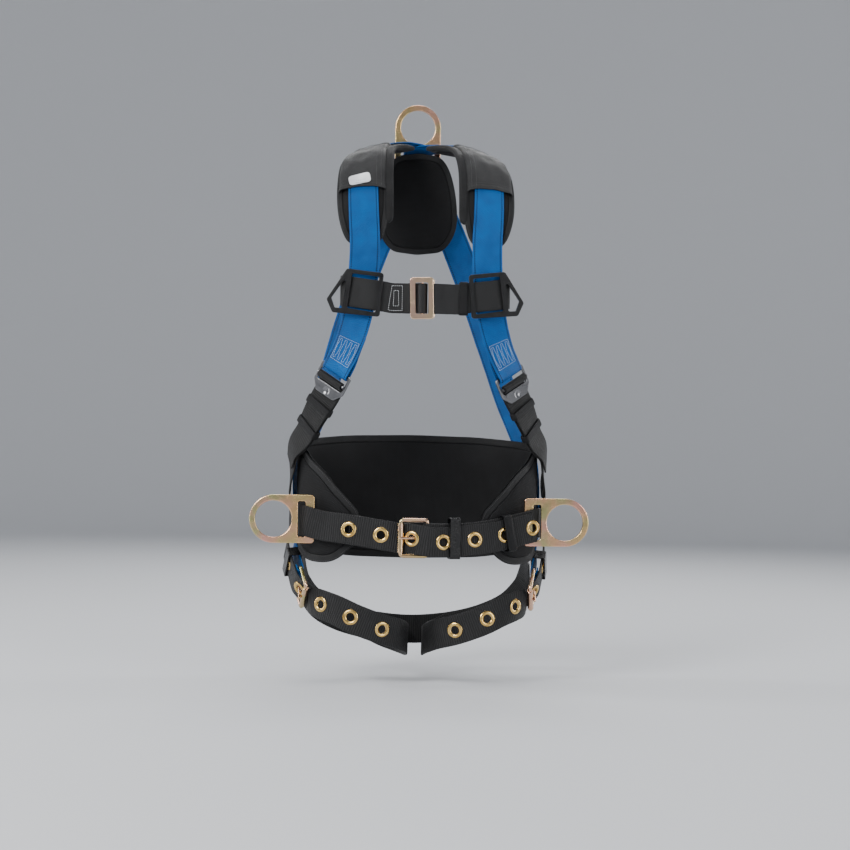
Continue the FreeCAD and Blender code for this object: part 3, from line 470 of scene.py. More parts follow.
def blend_rows(before, start, end, after, t):
    """Centripetal Catmull-Rom between the rows start and end."""
    gap = math.sqrt(np.linalg.norm(end[0] - start[0]))
    gap_before = gap if before is start else math.sqrt(np.linalg.norm(start[0] - before[0]))
    gap_after = gap if after is end else math.sqrt(np.linalg.norm(after[0] - end[0]))

    def mix(i):
        b, c = start[i], end[i]
        a = b * 2 - c if before is start else before[i]
        d = c * 2 - b if after is end else after[i]
        middle = (c - b) / gap
        leaving = (middle + (b - a) / gap_before - (c - a) / (gap_before + gap)) * gap
        arriving = (middle + (d - c) / gap_after - (d - b) / (gap + gap_after)) * gap
        return (b * (2 * t ** 3 - 3 * t ** 2 + 1) + leaving * (t ** 3 - 2 * t ** 2 + t)
                + c * (3 * t ** 2 - 2 * t ** 3) + arriving * (t ** 3 - t ** 2))

    return (mix(0), unit(mix(1)), start[2] + (end[2] - start[2]) * t)


def blended(rows, count):
    """The rows with more rows blended in, count steps between each pair."""
    fine = []
    for i in range(len(rows) - 1):
        before, after = rows[max(i - 1, 0)], rows[min(i + 2, len(rows) - 1)]
        fine += [blend_rows(before, rows[i], rows[i + 1], after, k / count) for k in range(count)]
    return fine + [rows[-1]]


class Run:
    """A strap's middle surface, sampled at even steps along its length. All in metres."""

    def __init__(self, rows, step):
        fine = blended(rows, BLENDS)
        points = np.array([f[0] for f in fine]) * MM
        lengths = distances(points)
        self.knots = lengths[::BLENDS]
        self.length = lengths[-1]
        count = max(4, int(round(self.length / step)))
        self.s = np.linspace(0, self.length, count + 1)
        self.centre = read_off(self.s, lengths, points)
        normal = read_off(self.s, lengths, np.array([f[1] for f in fine]))
        self.width = np.interp(self.s, lengths, [f[2] * MM for f in fine])
        self.along = unit_rows(np.gradient(self.centre, axis=0))
        self.side = unit_rows(np.cross(self.along, normal))
        self.out = np.cross(self.side, self.along)

    def at(self, s, u, lift=0.0):
        """A point on the run: s along it, u across it and lift out of it."""
        pick = lambda a: np.array([np.interp(s, self.s, a[:, k]) for k in range(3)])
        out = unit(pick(self.out))
        return pick(self.centre) + pick(self.side) * u + out * lift, out


def add_object(name, verts, faces, mat, uvs=None, body="webbing"):
    """A smooth-shaded object that rides on a body; all its faces have the same number of corners."""
    mesh = bpy.data.meshes.new(name)
    verts = np.asarray(verts, np.float32)
    faces = np.asarray(faces, np.int32)
    mesh.vertices.add(len(verts))
    mesh.vertices.foreach_set("co", verts.ravel())
    size = faces.shape[1]
    mesh.loops.add(faces.size)
    mesh.loops.foreach_set("vertex_index", faces.ravel())
    mesh.polygons.add(len(faces))
    mesh.polygons.foreach_set("loop_start", np.arange(0, faces.size, size, dtype=np.int32))
    mesh.update(calc_edges=True)
    if uvs is not None:
        layer = mesh.uv_layers.new(name="weave")
        layer.data.foreach_set("uv", np.asarray(uvs, np.float32)[faces.ravel()].ravel())
    mesh.validate()
    mesh.shade_smooth()
    mesh.set_sharp_from_angle(angle=math.radians(48))
    mesh.materials.append(mat)
    made = link(bpy.data.objects.new(name, mesh))
    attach(made, body)
    return made


def columns(middle):
    """Places across a strap from edge to edge, as a share of its half width, closer at the edges."""
    edge = [-1.0, -0.992, -0.975, -0.945, -0.9]
    inner = list(np.linspace(-0.9, 0.9, middle + 1))[1:-1]
    return np.array(edge + inner + [-e for e in reversed(edge)])


def webbing(node, rows, mat, step, thick=WEB_THICK, rib=0.0, pitch=RIB_PITCH, holes=(), slits=(),
            wave=0.12, middle=14, mirror=False, body="webbing", edge_wear=0.12):
    """A strap with rounded edges, cross ribs if wanted, and its holes. It stands for a CAD node."""
    run = Run(rows, step * MM)
    name = node + "_web"
    share = columns(middle)
    n, m = len(run.s), len(share)
    half = run.width[:, None] / 2
    u = share[None, :] * half
    shape = np.interp(np.abs(share), [0, 0.9, 0.945, 0.975, 0.992, 1.0], [1.0, 1.0, 0.96, 0.84, 0.6, 0.25])
    height = np.broadcast_to(shape[None, :] * thick * MM / 2, (n, m)).copy()
    if rib:
        ribs = np.cos(2 * math.pi * run.s / (pitch * MM))[:, None]
        fade = np.clip((1 - np.abs(share)) / 0.06, 0, 1)[None, :]
        height += rib * MM * ribs * (0.25 + 0.75 * fade)
    seed = sum(ord(c) for c in name) % 97
    drift = (np.sin(run.s * 71 + seed)[:, None] * np.cos(share * 2.1 + seed)[None, :]
             + 0.6 * np.sin(run.s * 163 + 2 * seed)[:, None] * share[None, :]) * wave * MM
    fray = rng.normal(0, edge_wear * MM, (n, 1)) * (np.abs(share) > 0.97)[None, :] * np.sign(share)[None, :]
    middle_points = (run.centre[:, None, :] + run.side[:, None, :] * (u + fray)[..., None]
                     + run.out[:, None, :] * drift[..., None])
    top = middle_points + run.out[:, None, :] * height[..., None]
    bottom = middle_points - run.out[:, None, :] * height[..., None]
    keep = np.ones((n - 1, m - 1), bool)
    cells = (middle_points[:-1, :-1] + middle_points[1:, 1:]) / 2
    for place, out, radius in holes:
        gap = cells - place
        off = np.abs(gap @ out)
        flat = np.linalg.norm(gap - (gap @ out)[..., None] * out, axis=2)
        keep &= ~((flat < radius) & (off < 0.0035))
    for s_low, s_high, reach in slits:
        mid_s = (run.s[:-1] + run.s[1:]) / 2
        mid_u = (u[:-1, :-1] + u[1:, 1:]) / 2
        keep &= ~(((mid_s > s_low) & (mid_s < s_high))[:, None] & (np.abs(mid_u) < reach))
    verts = np.concatenate([top.reshape(-1, 3), bottom.reshape(-1, 3)])
    index = np.arange(n * m).reshape(n, m)
    a, b, c, d = corners(index)
    a2, b2, c2, d2 = corners(index + n * m)
    faces = [np.stack([a, d, c, b], -1)[keep], np.stack([a2, b2, c2, d2], -1)[keep]]
    padded = np.zeros((n + 1, m + 1), bool)
    padded[1:-1, 1:-1] = keep
    for open_side, quad in (
            (~padded[:-2, 1:-1], (a, b, b2, a2)), (~padded[2:, 1:-1], (c, d, d2, c2)),
            (~padded[1:-1, :-2], (d, a, a2, d2)), (~padded[1:-1, 2:], (b, c, c2, b2))):
        faces.append(np.stack(quad, -1)[keep & open_side])
    faces = np.concatenate(faces)
    if mirror:
        verts, faces = mirrored(verts, faces)
    uv = np.stack([u, np.broadcast_to(run.s[:, None], (n, m))], -1).reshape(-1, 2)
    made = add_object(name, verts, faces, mat, np.concatenate([uv, uv]), body)
    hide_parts(node)
    return run


def tube(points, radius, sides):
    """Vertices and faces of a tube along a line; radius holds a value for each point."""
    n = len(points)
    along = np.gradient(points, axis=0)
    along /= np.maximum(np.linalg.norm(along, axis=1), 1e-9)[:, None]
    up = np.where(np.abs(along[:, 2:]) > 0.9, vec(1, 0, 0), vec(0, 0, 1))
    first = unit_rows(np.cross(along, up))
    second = np.cross(along, first)
    turn = np.arange(sides) * 2 * math.pi / sides
    ring = first[:, None, :] * np.cos(turn)[None, :, None] + second[:, None, :] * np.sin(turn)[None, :, None]
    verts = (points[:, None, :] + ring * radius[:, None, None]).reshape(-1, 3)
    i, k = np.meshgrid(np.arange(n - 1), np.arange(sides), indexing="ij")
    j, l = i + 1, (k + 1) % sides
    return verts, quads(i * sides + k, i * sides + l, j * sides + l, j * sides + k)


STITCH_ARCH = np.array([-0.9, 0.35, 0.6, 0.35, -0.9])
STITCH_GIRTH = np.array([0.55, 1, 1.05, 1, 0.55])


def stitches(name, lines, mat, length=2.4, gap=0.8, radius=0.3, body="webbing", mirror=False):
    """Rows of sewn stitches. Each line is a list of (point, outward direction)."""
    all_verts, all_faces, count = [], [], 0
    for line in lines:
        points = np.array([p for p, _ in line])
        outs = np.array([o for _, o in line])
        lengths = distances(points)
        total = max(1, int(lengths[-1] / ((length + gap) * MM)))
        pitch = lengths[-1] / total
        for k in range(total):
            low = k * pitch + 0.1 * gap * MM
            high = (k + 1) * pitch - 0.9 * gap * MM * min(1.0, pitch / ((length + gap) * MM))
            goals = np.linspace(low, high, len(STITCH_ARCH))
            place = read_off(goals, lengths, points)
            arch = read_off(goals, lengths, outs) * STITCH_ARCH[:, None] * radius * MM
            verts, faces = tube(place + arch, STITCH_GIRTH * radius * MM, 5)
            all_verts.append(verts)
            all_faces.append(faces + count)
            count += len(verts)
    verts, faces = np.concatenate(all_verts), np.concatenate(all_faces)
    if mirror:
        verts, faces = mirrored(verts, faces)
    add_object(name, verts, faces, mat, None, body)


def on_run(run, pairs, lift, step=0.8):
    """A line on the face of a strap, from (s, u) pairs in metres; lift is the height over its middle."""
    pairs = np.array(pairs, float)
    sizes = distances(pairs)
    goals = np.linspace(0, sizes[-1], max(2, int(sizes[-1] / (step * MM)) + 1))
    return [run.at(np.interp(g, sizes, pairs[:, 0]), np.interp(g, sizes, pairs[:, 1]), lift) for g in goals]


# ---------------------------------------------------------------- where the straps run

ADJUSTER = vec(138.0, -78.0, -336.0)
ADJUSTER_DOWN = unit(vec(0.42, 0.28, -0.87))
ADJUSTER_OUT = unit(np.cross(ADJUSTER_DOWN, vec(0.86, 0.5, 0.57)))
TOP_BAR = -19.0
LEG_ROLLER = vec(173.0, -46.0, -663.0)
LEG_UP = unit(vec(0.22, 0.64, 0.735))
LEG_OUT = unit(np.cross(vec(0.1, 0.68, -0.73), LEG_UP))
LEG_HINGE = LEG_ROLLER + LEG_UP * 38.0
BELT_BUCKLE = vec(-11.5, -118.0, -568.0)


def wrap_rows(centre, forward, out, radius, start, end, count):
    """Rows round a bar, from one angle to another."""
    rows = []
    for i in range(count + 1):
        angle = math.radians(start + (end - start) * i / count)
        radial = out * math.cos(angle) + forward * math.sin(angle)
        rows.append((centre + radial * radius, unit(radial), STRAP_WIDTH))
    return rows


def adjuster_row(down, out, facing=1):
    return (ADJUSTER + ADJUSTER_DOWN * down + ADJUSTER_OUT * out, ADJUSTER_OUT * facing, STRAP_WIDTH)


def leg_row(base, up, out, facing=1):
    return (base + LEG_UP * up + LEG_OUT * out, LEG_OUT * facing, STRAP_WIDTH)


def flip_x(rows):
    return [(p * vec(-1, 1, 1), n * vec(-1, 1, 1), w) for p, n, w in rows]


def lifted(rows, amount):
    return [(p + n * amount, n, w) for p, n, w in rows]


SHOULDER_ROWS = [
    row(117, -95, -288, 0.42, -0.91, 0.0), row(105, -103, -253, 0.28, -0.96, 0.0),
    row(97, -108, -213, 0.12, -0.99, 0.0), row(93, -108, -168, 0.05, -1.0, 0.0),
    row(92, -107, -125, 0.0, -1.0, 0.06), row(94, -102, -84, 0.07, -0.97, 0.22),
    row(95, -89, -44, 0.17, -0.85, 0.5), row(94, -67, -12, 0.25, -0.6, 0.8),
    row(91, -36, 9, 0.29, -0.3, 0.95), row(86, -2, 21, 0.29, -0.05, 1.0),
    row(76, 34, 30, 0.25, 0.0, 1.0), row(57, 66, 37, 0.13, 0.05, 1.0),
    row(34, 92, 41, 0.0, 0.08, 1.0), row(12, 108, 38.5, 0.0, 0.2, 0.97),
    row(1.5, 120, 35.8, 0.0, 0.35, 0.93),
]
BACK_ROWS = [
    row(0, 131, 31.6, 0.0, 0.5, 0.87), row(0, 138.8, 26.2, 0.0, 0.8, 0.6),
    row(3, 142.5, 17, 0.0, 1.0, 0.1), row(14, 142.5, -5, 0.0, 1.0, -0.05),
    row(30, 139, -36, 0.02, 1.0, -0.08), row(50, 131, -80, 0.05, 1.0, -0.15),
    row(69, 122, -128, 0.15, 0.97, -0.15), row(89, 113, -182, 0.3, 0.94, -0.12),
    row(109, 104, -242, 0.45, 0.88, -0.1), row(128, 93, -302, 0.6, 0.78, -0.1),
    row(146, 80, -360, 0.72, 0.68, -0.1), row(164, 69, -408, 0.8, 0.58, -0.1),
    row(178, 55, -448, 0.9, 0.42, -0.08), row(183.6, 42, -486, 0.94, 0.34, -0.02),
    row(184.3, 31, -525, 0.96, 0.28, 0.0), row(186.2, 20, -560, 0.985, 0.17, -0.02),
]
BLUE_LOOP = 4.6


SEWN_GAP = 3.4
CROSS_LIFT = 3.8


def main_strap_rows(lift):
    """One blue strap from its sewn end to the leg buckle; lift raises it where it crosses the other one."""
    bar = ADJUSTER + ADJUSTER_DOWN * TOP_BAR
    under = lifted([row(108.4, -101.2, -263, 0.31, -0.95, 0.0), SHOULDER_ROWS[0]], -SEWN_GAP)
    front = [(p, -n, w) for p, n, w in under] + [adjuster_row(TOP_BAR - 20, -5.0, -1)]
    front += wrap_rows(bar, ADJUSTER_DOWN, ADJUSTER_OUT, 5.0, 180, 0, 4)
    front += SHOULDER_ROWS
    back = BACK_ROWS + [leg_row(LEG_HINGE, 44, -BLUE_LOOP), leg_row(LEG_HINGE, 15, -BLUE_LOOP)]
    loop = wrap_rows(LEG_HINGE, -LEG_UP, LEG_OUT, BLUE_LOOP, 180, 0, 4)
    back += [(p, -n, w) for p, n, w in loop]
    back += [leg_row(LEG_HINGE, 8, BLUE_LOOP, -1)]
    rows = front + flip_x(back)
    if lift:
        start, end = len(front) - 3, len(front) + 6
        raised = []
        for i, entry in enumerate(rows):
            off = max(0, start - i, i - end)
            raised += lifted([entry], CROSS_LIFT * max(0.0, 1.0 - 0.5 * off))
        rows = raised
    return rows


def chest_loop_rows():
    return [row(66, -115.3, -208, 0.1, -1, 0), row(98, -112.2, -204, 0.12, -1, 0),
            row(119.5, -108.9, -201, 0.14, -1, 0), row(126.4, -105.0, -200.5, 1, 0, 0),
            row(119.5, -100.8, -201, -0.12, 1, 0), row(98, -104.2, -204, -0.12, 1, 0),
            row(72, -107.2, -207.5, -0.1, 1, 0)]


def torso_strap_rows():
    bar = ADJUSTER + ADJUSTER_DOWN * -3.6 + ADJUSTER_OUT * 4.6
    rows = [row(196.6, 8, -511, -1.0, 0, 0), row(195.4, 2, -490, -1.0, 0, -0.05),
            row(193.6, -10, -462, -0.97, 0.2, -0.1), row(189.2, -22, -438, -0.95, 0.29, -0.08),
            row(174, -36, -417, -0.85, 0.52, -0.05), row(163, -49, -393, -0.74, 0.67, 0),
            row(153, -58, -373, -0.62, 0.78, 0)]
    rows += [adjuster_row(24, -7.6, -1), adjuster_row(9, -7.6, -1), adjuster_row(3, -5.6, -1)]
    rows += wrap_rows(bar, ADJUSTER_DOWN, ADJUSTER_OUT, 4.5, 200, 420, 5)
    rows += [adjuster_row(2.8, 1.4), adjuster_row(5.4, -3.4), adjuster_row(12, -4.0), adjuster_row(24, -4.0)]
    rows += [row(155.4, -61.2, -372, 0.62, -0.78, 0), row(165.8, -51.6, -392, 0.74, -0.67, 0),
             row(177.2, -38.6, -416, 0.85, -0.52, 0), row(192.6, -24.2, -437, 0.94, -0.31, 0.05),
             row(197.4, -12.5, -458, 0.97, -0.2, 0.1)]
    return rows


WAIST_HALF = 195.0
WAIST_FRONT = 110.0
WAIST_BACK = 126.0
WAIST_POWER = 2.3


def waist_row(degrees, inset, low=None, high=None):
    """A row on the belt's ring, by the angle from the front towards the wearer's left."""
    s, c = math.sin(math.radians(degrees)), math.cos(math.radians(degrees))
    depth = (WAIST_FRONT if c > 0 else WAIST_BACK) - inset
    half = WAIST_HALF - inset
    x = math.copysign(abs(s) ** (2.0 / WAIST_POWER) * half, s)
    y = -math.copysign(abs(c) ** (2.0 / WAIST_POWER) * depth, c)
    slope = WAIST_POWER - 1
    out = vec(math.copysign(abs(x / half) ** slope / half, x),
              math.copysign(abs(y / depth) ** slope / depth, y), 0)
    if low is None:
        return (vec(x, y, -545.0 + 0.19 * y), unit(out), STRAP_WIDTH)
    return (vec(x, y, (low + high) / 2), unit(out), high - low)


# Angle from the front, and the heights of the pad's lower and upper edge there.
PAD_EDGES = [(30, -567, -541), (36, -583, -521), (44, -597, -502), (54, -600, -479), (66, -595, -463),
             (80, -583, -442), (100, -581, -437), (125, -588, -433), (150, -597, -428), (180, -600, -426)]
BELT_RING_ROWS = [
    row(147, -84.5, -553, 0.42, -0.9, 0), row(163, -78.5, -549.5, 0.44, -0.9, 0),
    row(173, -73.6, -546.5, 0.56, -0.83, 0), row(179.8, -66.0, -545.2, 0.8, -0.6, 0),
    row(186.3, -54, -545, 0.9, -0.43, 0), row(191.5, -38, -545, 0.96, -0.25, 0),
    row(194.5, -20, -545, 1, -0.1, 0), row(195, 0, -545, 1, 0, 0),
]


def belt_rows():
    hinge = BELT_BUCKLE + vec(20.0, 0, 0)
    rows = [row(37, -109.6, -568.5, 0, 1, 0), row(24, -111.4, -568.5, 0, 1, 0)]
    rows += wrap_rows(hinge, vec(-1, 0, 0), vec(0, -1, 0), 4.8, 180, 0, 4)
    rows += [row(26, -119.0, -568.5, 0.1, -1, 0), row(46, -114.6, -568, 0.15, -1, 0),
             row(74, -109.0, -566.5, 0.2, -1, 0), row(100, -102.6, -563, 0.27, -0.96, 0),
             row(124, -94.6, -558.5, 0.35, -0.94, 0)]
    rows += BELT_RING_ROWS
    angles = (104, 120, 138, 158, 180)
    rows += [waist_row(a, 0) for a in angles] + [waist_row(-a, 0) for a in reversed(angles[:-1])]
    rows += flip_x(reversed(BELT_RING_ROWS))
    rows += [row(-113, -99.5, -556.5, -0.27, -0.96, 0), row(-82, -106.8, -561, -0.15, -1, 0),
             row(-56, -110.2, -565, -0.08, -1, 0)]
    rows += [row(-31.5, -111.1, -568.5, 0, -1, 0), row(-15.0, -121.0, -568.8, -0.5, -0.87, 0),
             row(-3.5, -124.9, -570.5, -0.2, -0.98, 0), row(8.5, -126.2, -572.5, 0, -1, 0)]
    rows += [row(29, -122.9, -573.5, 0.15, -1, 0), row(52, -117.8, -572, 0.15, -1, 0),
             row(78, -112.4, -569.5, 0.2, -1, 0), row(104, -105.6, -566.5, 0.27, -0.96, 0),
             row(128, -97.8, -562, 0.35, -0.94, 0), row(148, -89.2, -557, 0.42, -0.9, 0),
             row(163, -82.8, -553.5, 0.44, -0.9, 0), row(175.2, -76.6, -551, 0.5, -0.87, 0)]
    return rows


def leg_strap_rows():
    rows = [row(64, 97.4, -718, 0.1, 0.98, -0.15), row(45, 94.5, -727, -0.1, 0.97, -0.15),
            row(28, 82, -733, -0.55, 0.83, -0.05), row(17, 58, -736, -0.95, 0.3, 0),
            row(13, 12, -733, -1, 0, 0), row(15, -34, -725, -0.95, -0.3, 0),
            row(28, -66, -716, -0.6, -0.8, 0), row(57, -84, -707, -0.15, -1, 0),
            row(95, -89, -693, 0.05, -1, 0), row(127, -79.5, -679, 0.4, -0.92, 0),
            row(148, -67, -672, 0.72, -0.68, 0)]
    rows += [leg_row(LEG_ROLLER, -5, -7.1), leg_row(LEG_ROLLER, 3, -6.5), leg_row(LEG_ROLLER, 16.5, 2.6),
             leg_row(LEG_ROLLER, 27, 6.9), leg_row(LEG_HINGE, 0, 7.8)]
    rows += [leg_row(LEG_HINGE, 22, 7.8), leg_row(LEG_HINGE, 44, 7.8), leg_row(LEG_HINGE, 58, 6.3)]
    return rows


def seat_strap_rows():
    half = [row(175, 38, -606, 1, 0.15, 0), row(174, 47, -632, 0.95, 0.3, -0.05),
            row(170, 56, -655, 0.83, 0.55, -0.1), row(149, 79, -684, 0.6, 0.78, -0.15),
            row(116, 94, -703, 0.3, 0.94, -0.15), row(76, 101, -715, 0.1, 0.98, -0.15),
            row(36, 102, -721, 0, 0.98, -0.15), row(0, 102, -723, 0, 0.98, -0.15)]
    return half + flip_x(reversed(half[:-1]))

# ---------------------------------------------------------------- blue straps


BLUE_THICK = 2.0
LOAD_HALF_WIDTH = 0.0165
LOAD_LENGTH = 0.038
LOAD_LOOPS = 4
LOAD_PITCH = 0.0082
LOAD_LIFT = 0.00125


def make_main_straps():
    for side, flip in SIDES:
        node = "main_strap_" + side
        rows = main_strap_rows(flip)
        hinge = Run(rows, 1.2 * MM).knots[len(rows) - 4]
        slit = (hinge - 0.0075, hinge + 0.0075, 0.0043)
        run = webbing(node, rows, BLUE, 1.5, BLUE_THICK, slits=[slit], wave=0.18, middle=12, mirror=flip,
                      edge_wear=0.06)
        load_stitch(node, run, run.knots[8] + 0.016, flip)


def squashed(value):
    return np.sign(value) * np.abs(value) ** 0.6


def load_stitch(node, run, s_high, flip):
    """The load stitch above the adjuster: a frame round four long loops side by side."""
    s_low = s_high - LOAD_LENGTH
    half = LOAD_HALF_WIDTH
    lines = [on_run(run, [(s, -half), (s, half)], LOAD_LIFT) for s in (s_low, s_high)]
    lines += [on_run(run, [(s_low, u), (s_high, u)], LOAD_LIFT) for u in (-half, half)]
    reach = (s_high - s_low) / 2 - 0.003
    for k in range(LOAD_LOOPS):
        centre = (k - (LOAD_LOOPS - 1) / 2) * LOAD_PITCH
        loop = [((s_low + s_high) / 2 + reach * squashed(math.cos(a)),
                 centre + 0.0025 * squashed(math.sin(a)) + 0.0005 * math.sin(5 * a))
                for a in np.linspace(0, 2 * math.pi, 40)]
        lines.append(on_run(run, loop, LOAD_LIFT))
    stitches(node + "_load_stitch", lines, PALE_THREAD, 2.2, 0.6, mirror=flip)


make_main_straps()

# ---------------------------------------------------------------- black straps


STITCH_LIFT = 0.0014
STITCH_ROW = 0.0032
STITCH_HALF = 0.019
BOX_HALF = 0.018
GROMMET_HOLE = 0.0094
BELT_GROMMET_PITCH = 49.0
LEG_GROMMET_PITCH = 52.0


def cross_stitch(name, run, s, count):
    """Rows of stitches from edge to edge."""
    places = [s + k * STITCH_ROW for k in range(count)]
    lines = [on_run(run, [(place, -STITCH_HALF), (place, STITCH_HALF)], STITCH_LIFT) for place in places]
    stitches(name, lines, GREY_THREAD)


def rectangle(run, s0, s1, half):
    return on_run(run, [(s0, -half), (s1, -half), (s1, half), (s0, half), (s0, -half)], STITCH_LIFT)


def crossed_box(run, s0, s1):
    """A box of stitches with a cross in it."""
    return [rectangle(run, s0, s1, BOX_HALF),
            on_run(run, [(s0, -BOX_HALF), (s1, BOX_HALF)], STITCH_LIFT),
            on_run(run, [(s0, BOX_HALF), (s1, -BOX_HALF)], STITCH_LIFT)]


def make_chest_straps():
    z = -210.5
    right_half = [row(47, -110.6, z, 0, 1, 0), row(30, -112.6, z, 0, 1, 0), row(17, -115.6, z, -0.1, 1, 0),
                  row(9.5, -116.0, z, 0, 1, 0), row(4.8, -120.4, z, -1, 0, 0), row(10, -124.7, z, 0, -1, 0),
                  row(19, -122.4, z, 0.1, -1, 0), row(31, -117.4, z, 0.1, -1, 0),
                  row(48, -114.4, z, 0, -1, 0)]
    left_half = [row(48, -110.0, z, 0, 1, 0), row(32, -110.6, z, 0, 1, 0), row(20, -112.2, z, 0, 1, 0),
                 row(11, -115.2, z, 0, 1, 0), row(3.4, -116.5, z, -0.3, 1, 0), row(-1.2, -120.7, z, -1, 0, 0),
                 row(3.4, -125.0, z, 0, -1, 0), row(11.5, -123.6, z, 0.6, -0.8, 0),
                 row(17, -118.2, z, 0.5, -0.85, 0), row(25, -116.0, z, 0.1, -1, 0),
                 row(38, -114.6, z, 0, -1, 0), row(50, -113.8, z, 0, -1, 0)]
    webbing("chest_strap_left", right_half + chest_loop_rows(), SMOOTH, 0.9, rib=0.05, pitch=1.5,
            body="chest_group")
    run = webbing("chest_strap_right", left_half + chest_loop_rows(), SMOOTH, 0.9, rib=0.05, pitch=1.5,
                  body="chest_group", mirror=True)
    s0 = run.knots[10] - 0.003
    s1 = s0 + 0.0185
    lines = [rectangle(run, s0, s1, 0.0185), rectangle(run, s0 + 0.0055, s1 - 0.0055, 0.0115)]
    stitches("chest_box_stitch", lines, WHITE_THREAD, 2.3, body="chest_group", mirror=True)


def make_torso_straps():
    for side, flip in SIDES:
        run = webbing("torso_strap_" + side, torso_strap_rows(), DARK_RIBBED, 0.6, rib=0.16, middle=12,
                      mirror=flip)
        low = run.knots[0] + 0.012
        stitches("torso_box_stitch_" + side, crossed_box(run, low, low + 0.03), GREY_THREAD, mirror=flip)


def grommet_holes(run, start, pitch, before, after):
    """Holes at even steps, counted from the grommet that the prong goes through."""
    return [(*run.at(start + pitch * k * MM, 0.0), GROMMET_HOLE) for k in range(-before, after + 1)]


def make_belt():
    rows = belt_rows()
    run = Run(rows, 1.0 * MM)
    holes = grommet_holes(run, run.knots[len(rows) - 11], BELT_GROMMET_PITCH, 2, 4)
    hinge = run.knots[4]
    run = webbing("waist_belt", rows, RIBBED, 0.4, rib=0.24, holes=holes,
                  slits=[(hinge - 0.008, hinge + 0.008, 0.0045)], wave=0.25)
    cross_stitch("belt_fold_stitch", run, run.knots[8] - 0.003, 3)
    cross_stitch("belt_ring_stitch", run, run.knots[len(rows) - 14] - 0.026, 2)
    cross_stitch("belt_end_stitch", run, run.length - 0.006, 1)


def make_leg_straps():
    rows = leg_strap_rows()
    run = Run(rows, 1.0 * MM)
    holes = grommet_holes(run, run.knots[len(rows) - 6], LEG_GROMMET_PITCH, 3, 1)
    for side, flip in SIDES:
        run = webbing("leg_strap_" + side, rows, RIBBED, 0.4, rib=0.22, holes=holes, wave=0.25, mirror=flip)
        stitches("leg_box_stitch_" + side, crossed_box(run, 0.004, 0.032), GREY_THREAD, mirror=flip)


def make_seat_strap():
    run = webbing("seat_strap", seat_strap_rows(), RIBBED, 0.45, rib=0.2, wave=0.3)
    lines = []
    for s in (0.006, run.length - 0.034):
        lines += crossed_box(run, s, s + 0.028)
    stitches("seat_box_stitch", lines, WHITE_THREAD)


make_chest_straps()
make_torso_straps()
make_belt()
make_leg_straps()
make_seat_strap()

# ---------------------------------------------------------------- pads


SLAB_STEP = 4.0
SLAB_ACROSS = 26
SLAB_RIM = 3.5
WIDTH_EASE = 16.0
SWELL_EASE = 9.0
SWELL_FRAMES = 20
BINDING_LIFT = 0.7
BINDING_INSETS = np.array([1.0, 0.97, 0.8, 0.6, 0.4, 0.22, 0.1])
BINDING_RAISE = np.array([-0.4, 1, 1, 1, 1, 1, 0.9])


class Slab:
    """The plain form of a pad: round rims and round ends, as rows across a run."""

    def __init__(self, rows, thick, ends, upright):
        self.run = run = Run(rows, SLAB_STEP * MM)
        if upright:
            run.side = vec(0, 0, 1) * np.sign(run.side[:, 2:])
            run.out = unit_rows(np.cross(run.side, run.along))
        spread = int(WIDTH_EASE / SLAB_STEP)
        window = np.ones(2 * spread + 1) / (2 * spread + 1)
        soft = np.convolve(np.pad(run.width, spread, "edge"), window, "valid")
        t = run.s / run.length
        self.half = soft / 2 * np.maximum((1 - np.abs(2 * t - 1) ** ends) ** (1 / ends), 0.02)
        share = np.sin(np.linspace(-1, 1, SLAB_ACROSS + 1) * math.pi / 2)
        self.u = share[None, :] * self.half[:, None]
        edge = self.nearness(SLAB_RIM, 0.06)
        self.rim = thick * MM / 2 * np.sqrt(1 - (1 - edge) ** 2)
        self.base = run.centre[:, None, :] + run.side[:, None, :] * self.u[..., None]

    def nearness(self, reach, least):
        """1 inside the pad, falling to least at its rim over a reach in millimetres."""
        edge = np.clip((self.half[:, None] - np.abs(self.u)) / (reach * MM), least, 1)
        ends = np.minimum(self.run.s, self.run.length - self.run.s) / (reach * MM)
        return np.minimum(edge, np.clip(ends, least, 1)[:, None])

    def mesh(self, top, bottom):
        """Vertices and faces for heights above and below the middle surface."""
        out = self.run.out[:, None, :]
        sheets = [self.base + out * top[..., None], self.base - out * bottom[..., None]]
        n, m = top.shape
        index = np.arange(n * m).reshape(n, m)
        other = index + n * m
        a, b, c, d = corners(index)
        faces = [quads(a, d, c, b), quads(*corners(other)),
                 quads(index[0, :-1], index[0, 1:], other[0, 1:], other[0, :-1]),
                 quads(index[-1, 1:], index[-1, :-1], other[-1, :-1], other[-1, 1:]),
                 quads(index[1:, 0], index[:-1, 0], other[:-1, 0], other[1:, 0]),
                 quads(index[:-1, -1], index[1:, -1], other[1:, -1], other[:-1, -1])]
        return np.concatenate([sheet.reshape(-1, 3) for sheet in sheets]), np.concatenate(faces)

    def swollen(self, surface, sign):
        """Heights of a swollen copy over the middle surface, eased down to the rim."""
        found = np.array([[surface.height(self.base[i, k], self.run.out[i] * sign)
                           for k in range(self.base.shape[1])] for i in range(len(self.base))])
        high = np.where(np.isnan(found), self.rim, found)
        high = self.rim + (np.maximum(high, self.rim) - self.rim) * self.nearness(SWELL_EASE, 0)
        for _ in range(3):
            high[1:-1] = 0.5 * high[1:-1] + 0.25 * (high[:-2] + high[2:])
            high[:, 1:-1] = 0.5 * high[:, 1:-1] + 0.25 * (high[:, :-2] + high[:, 2:])
        return high


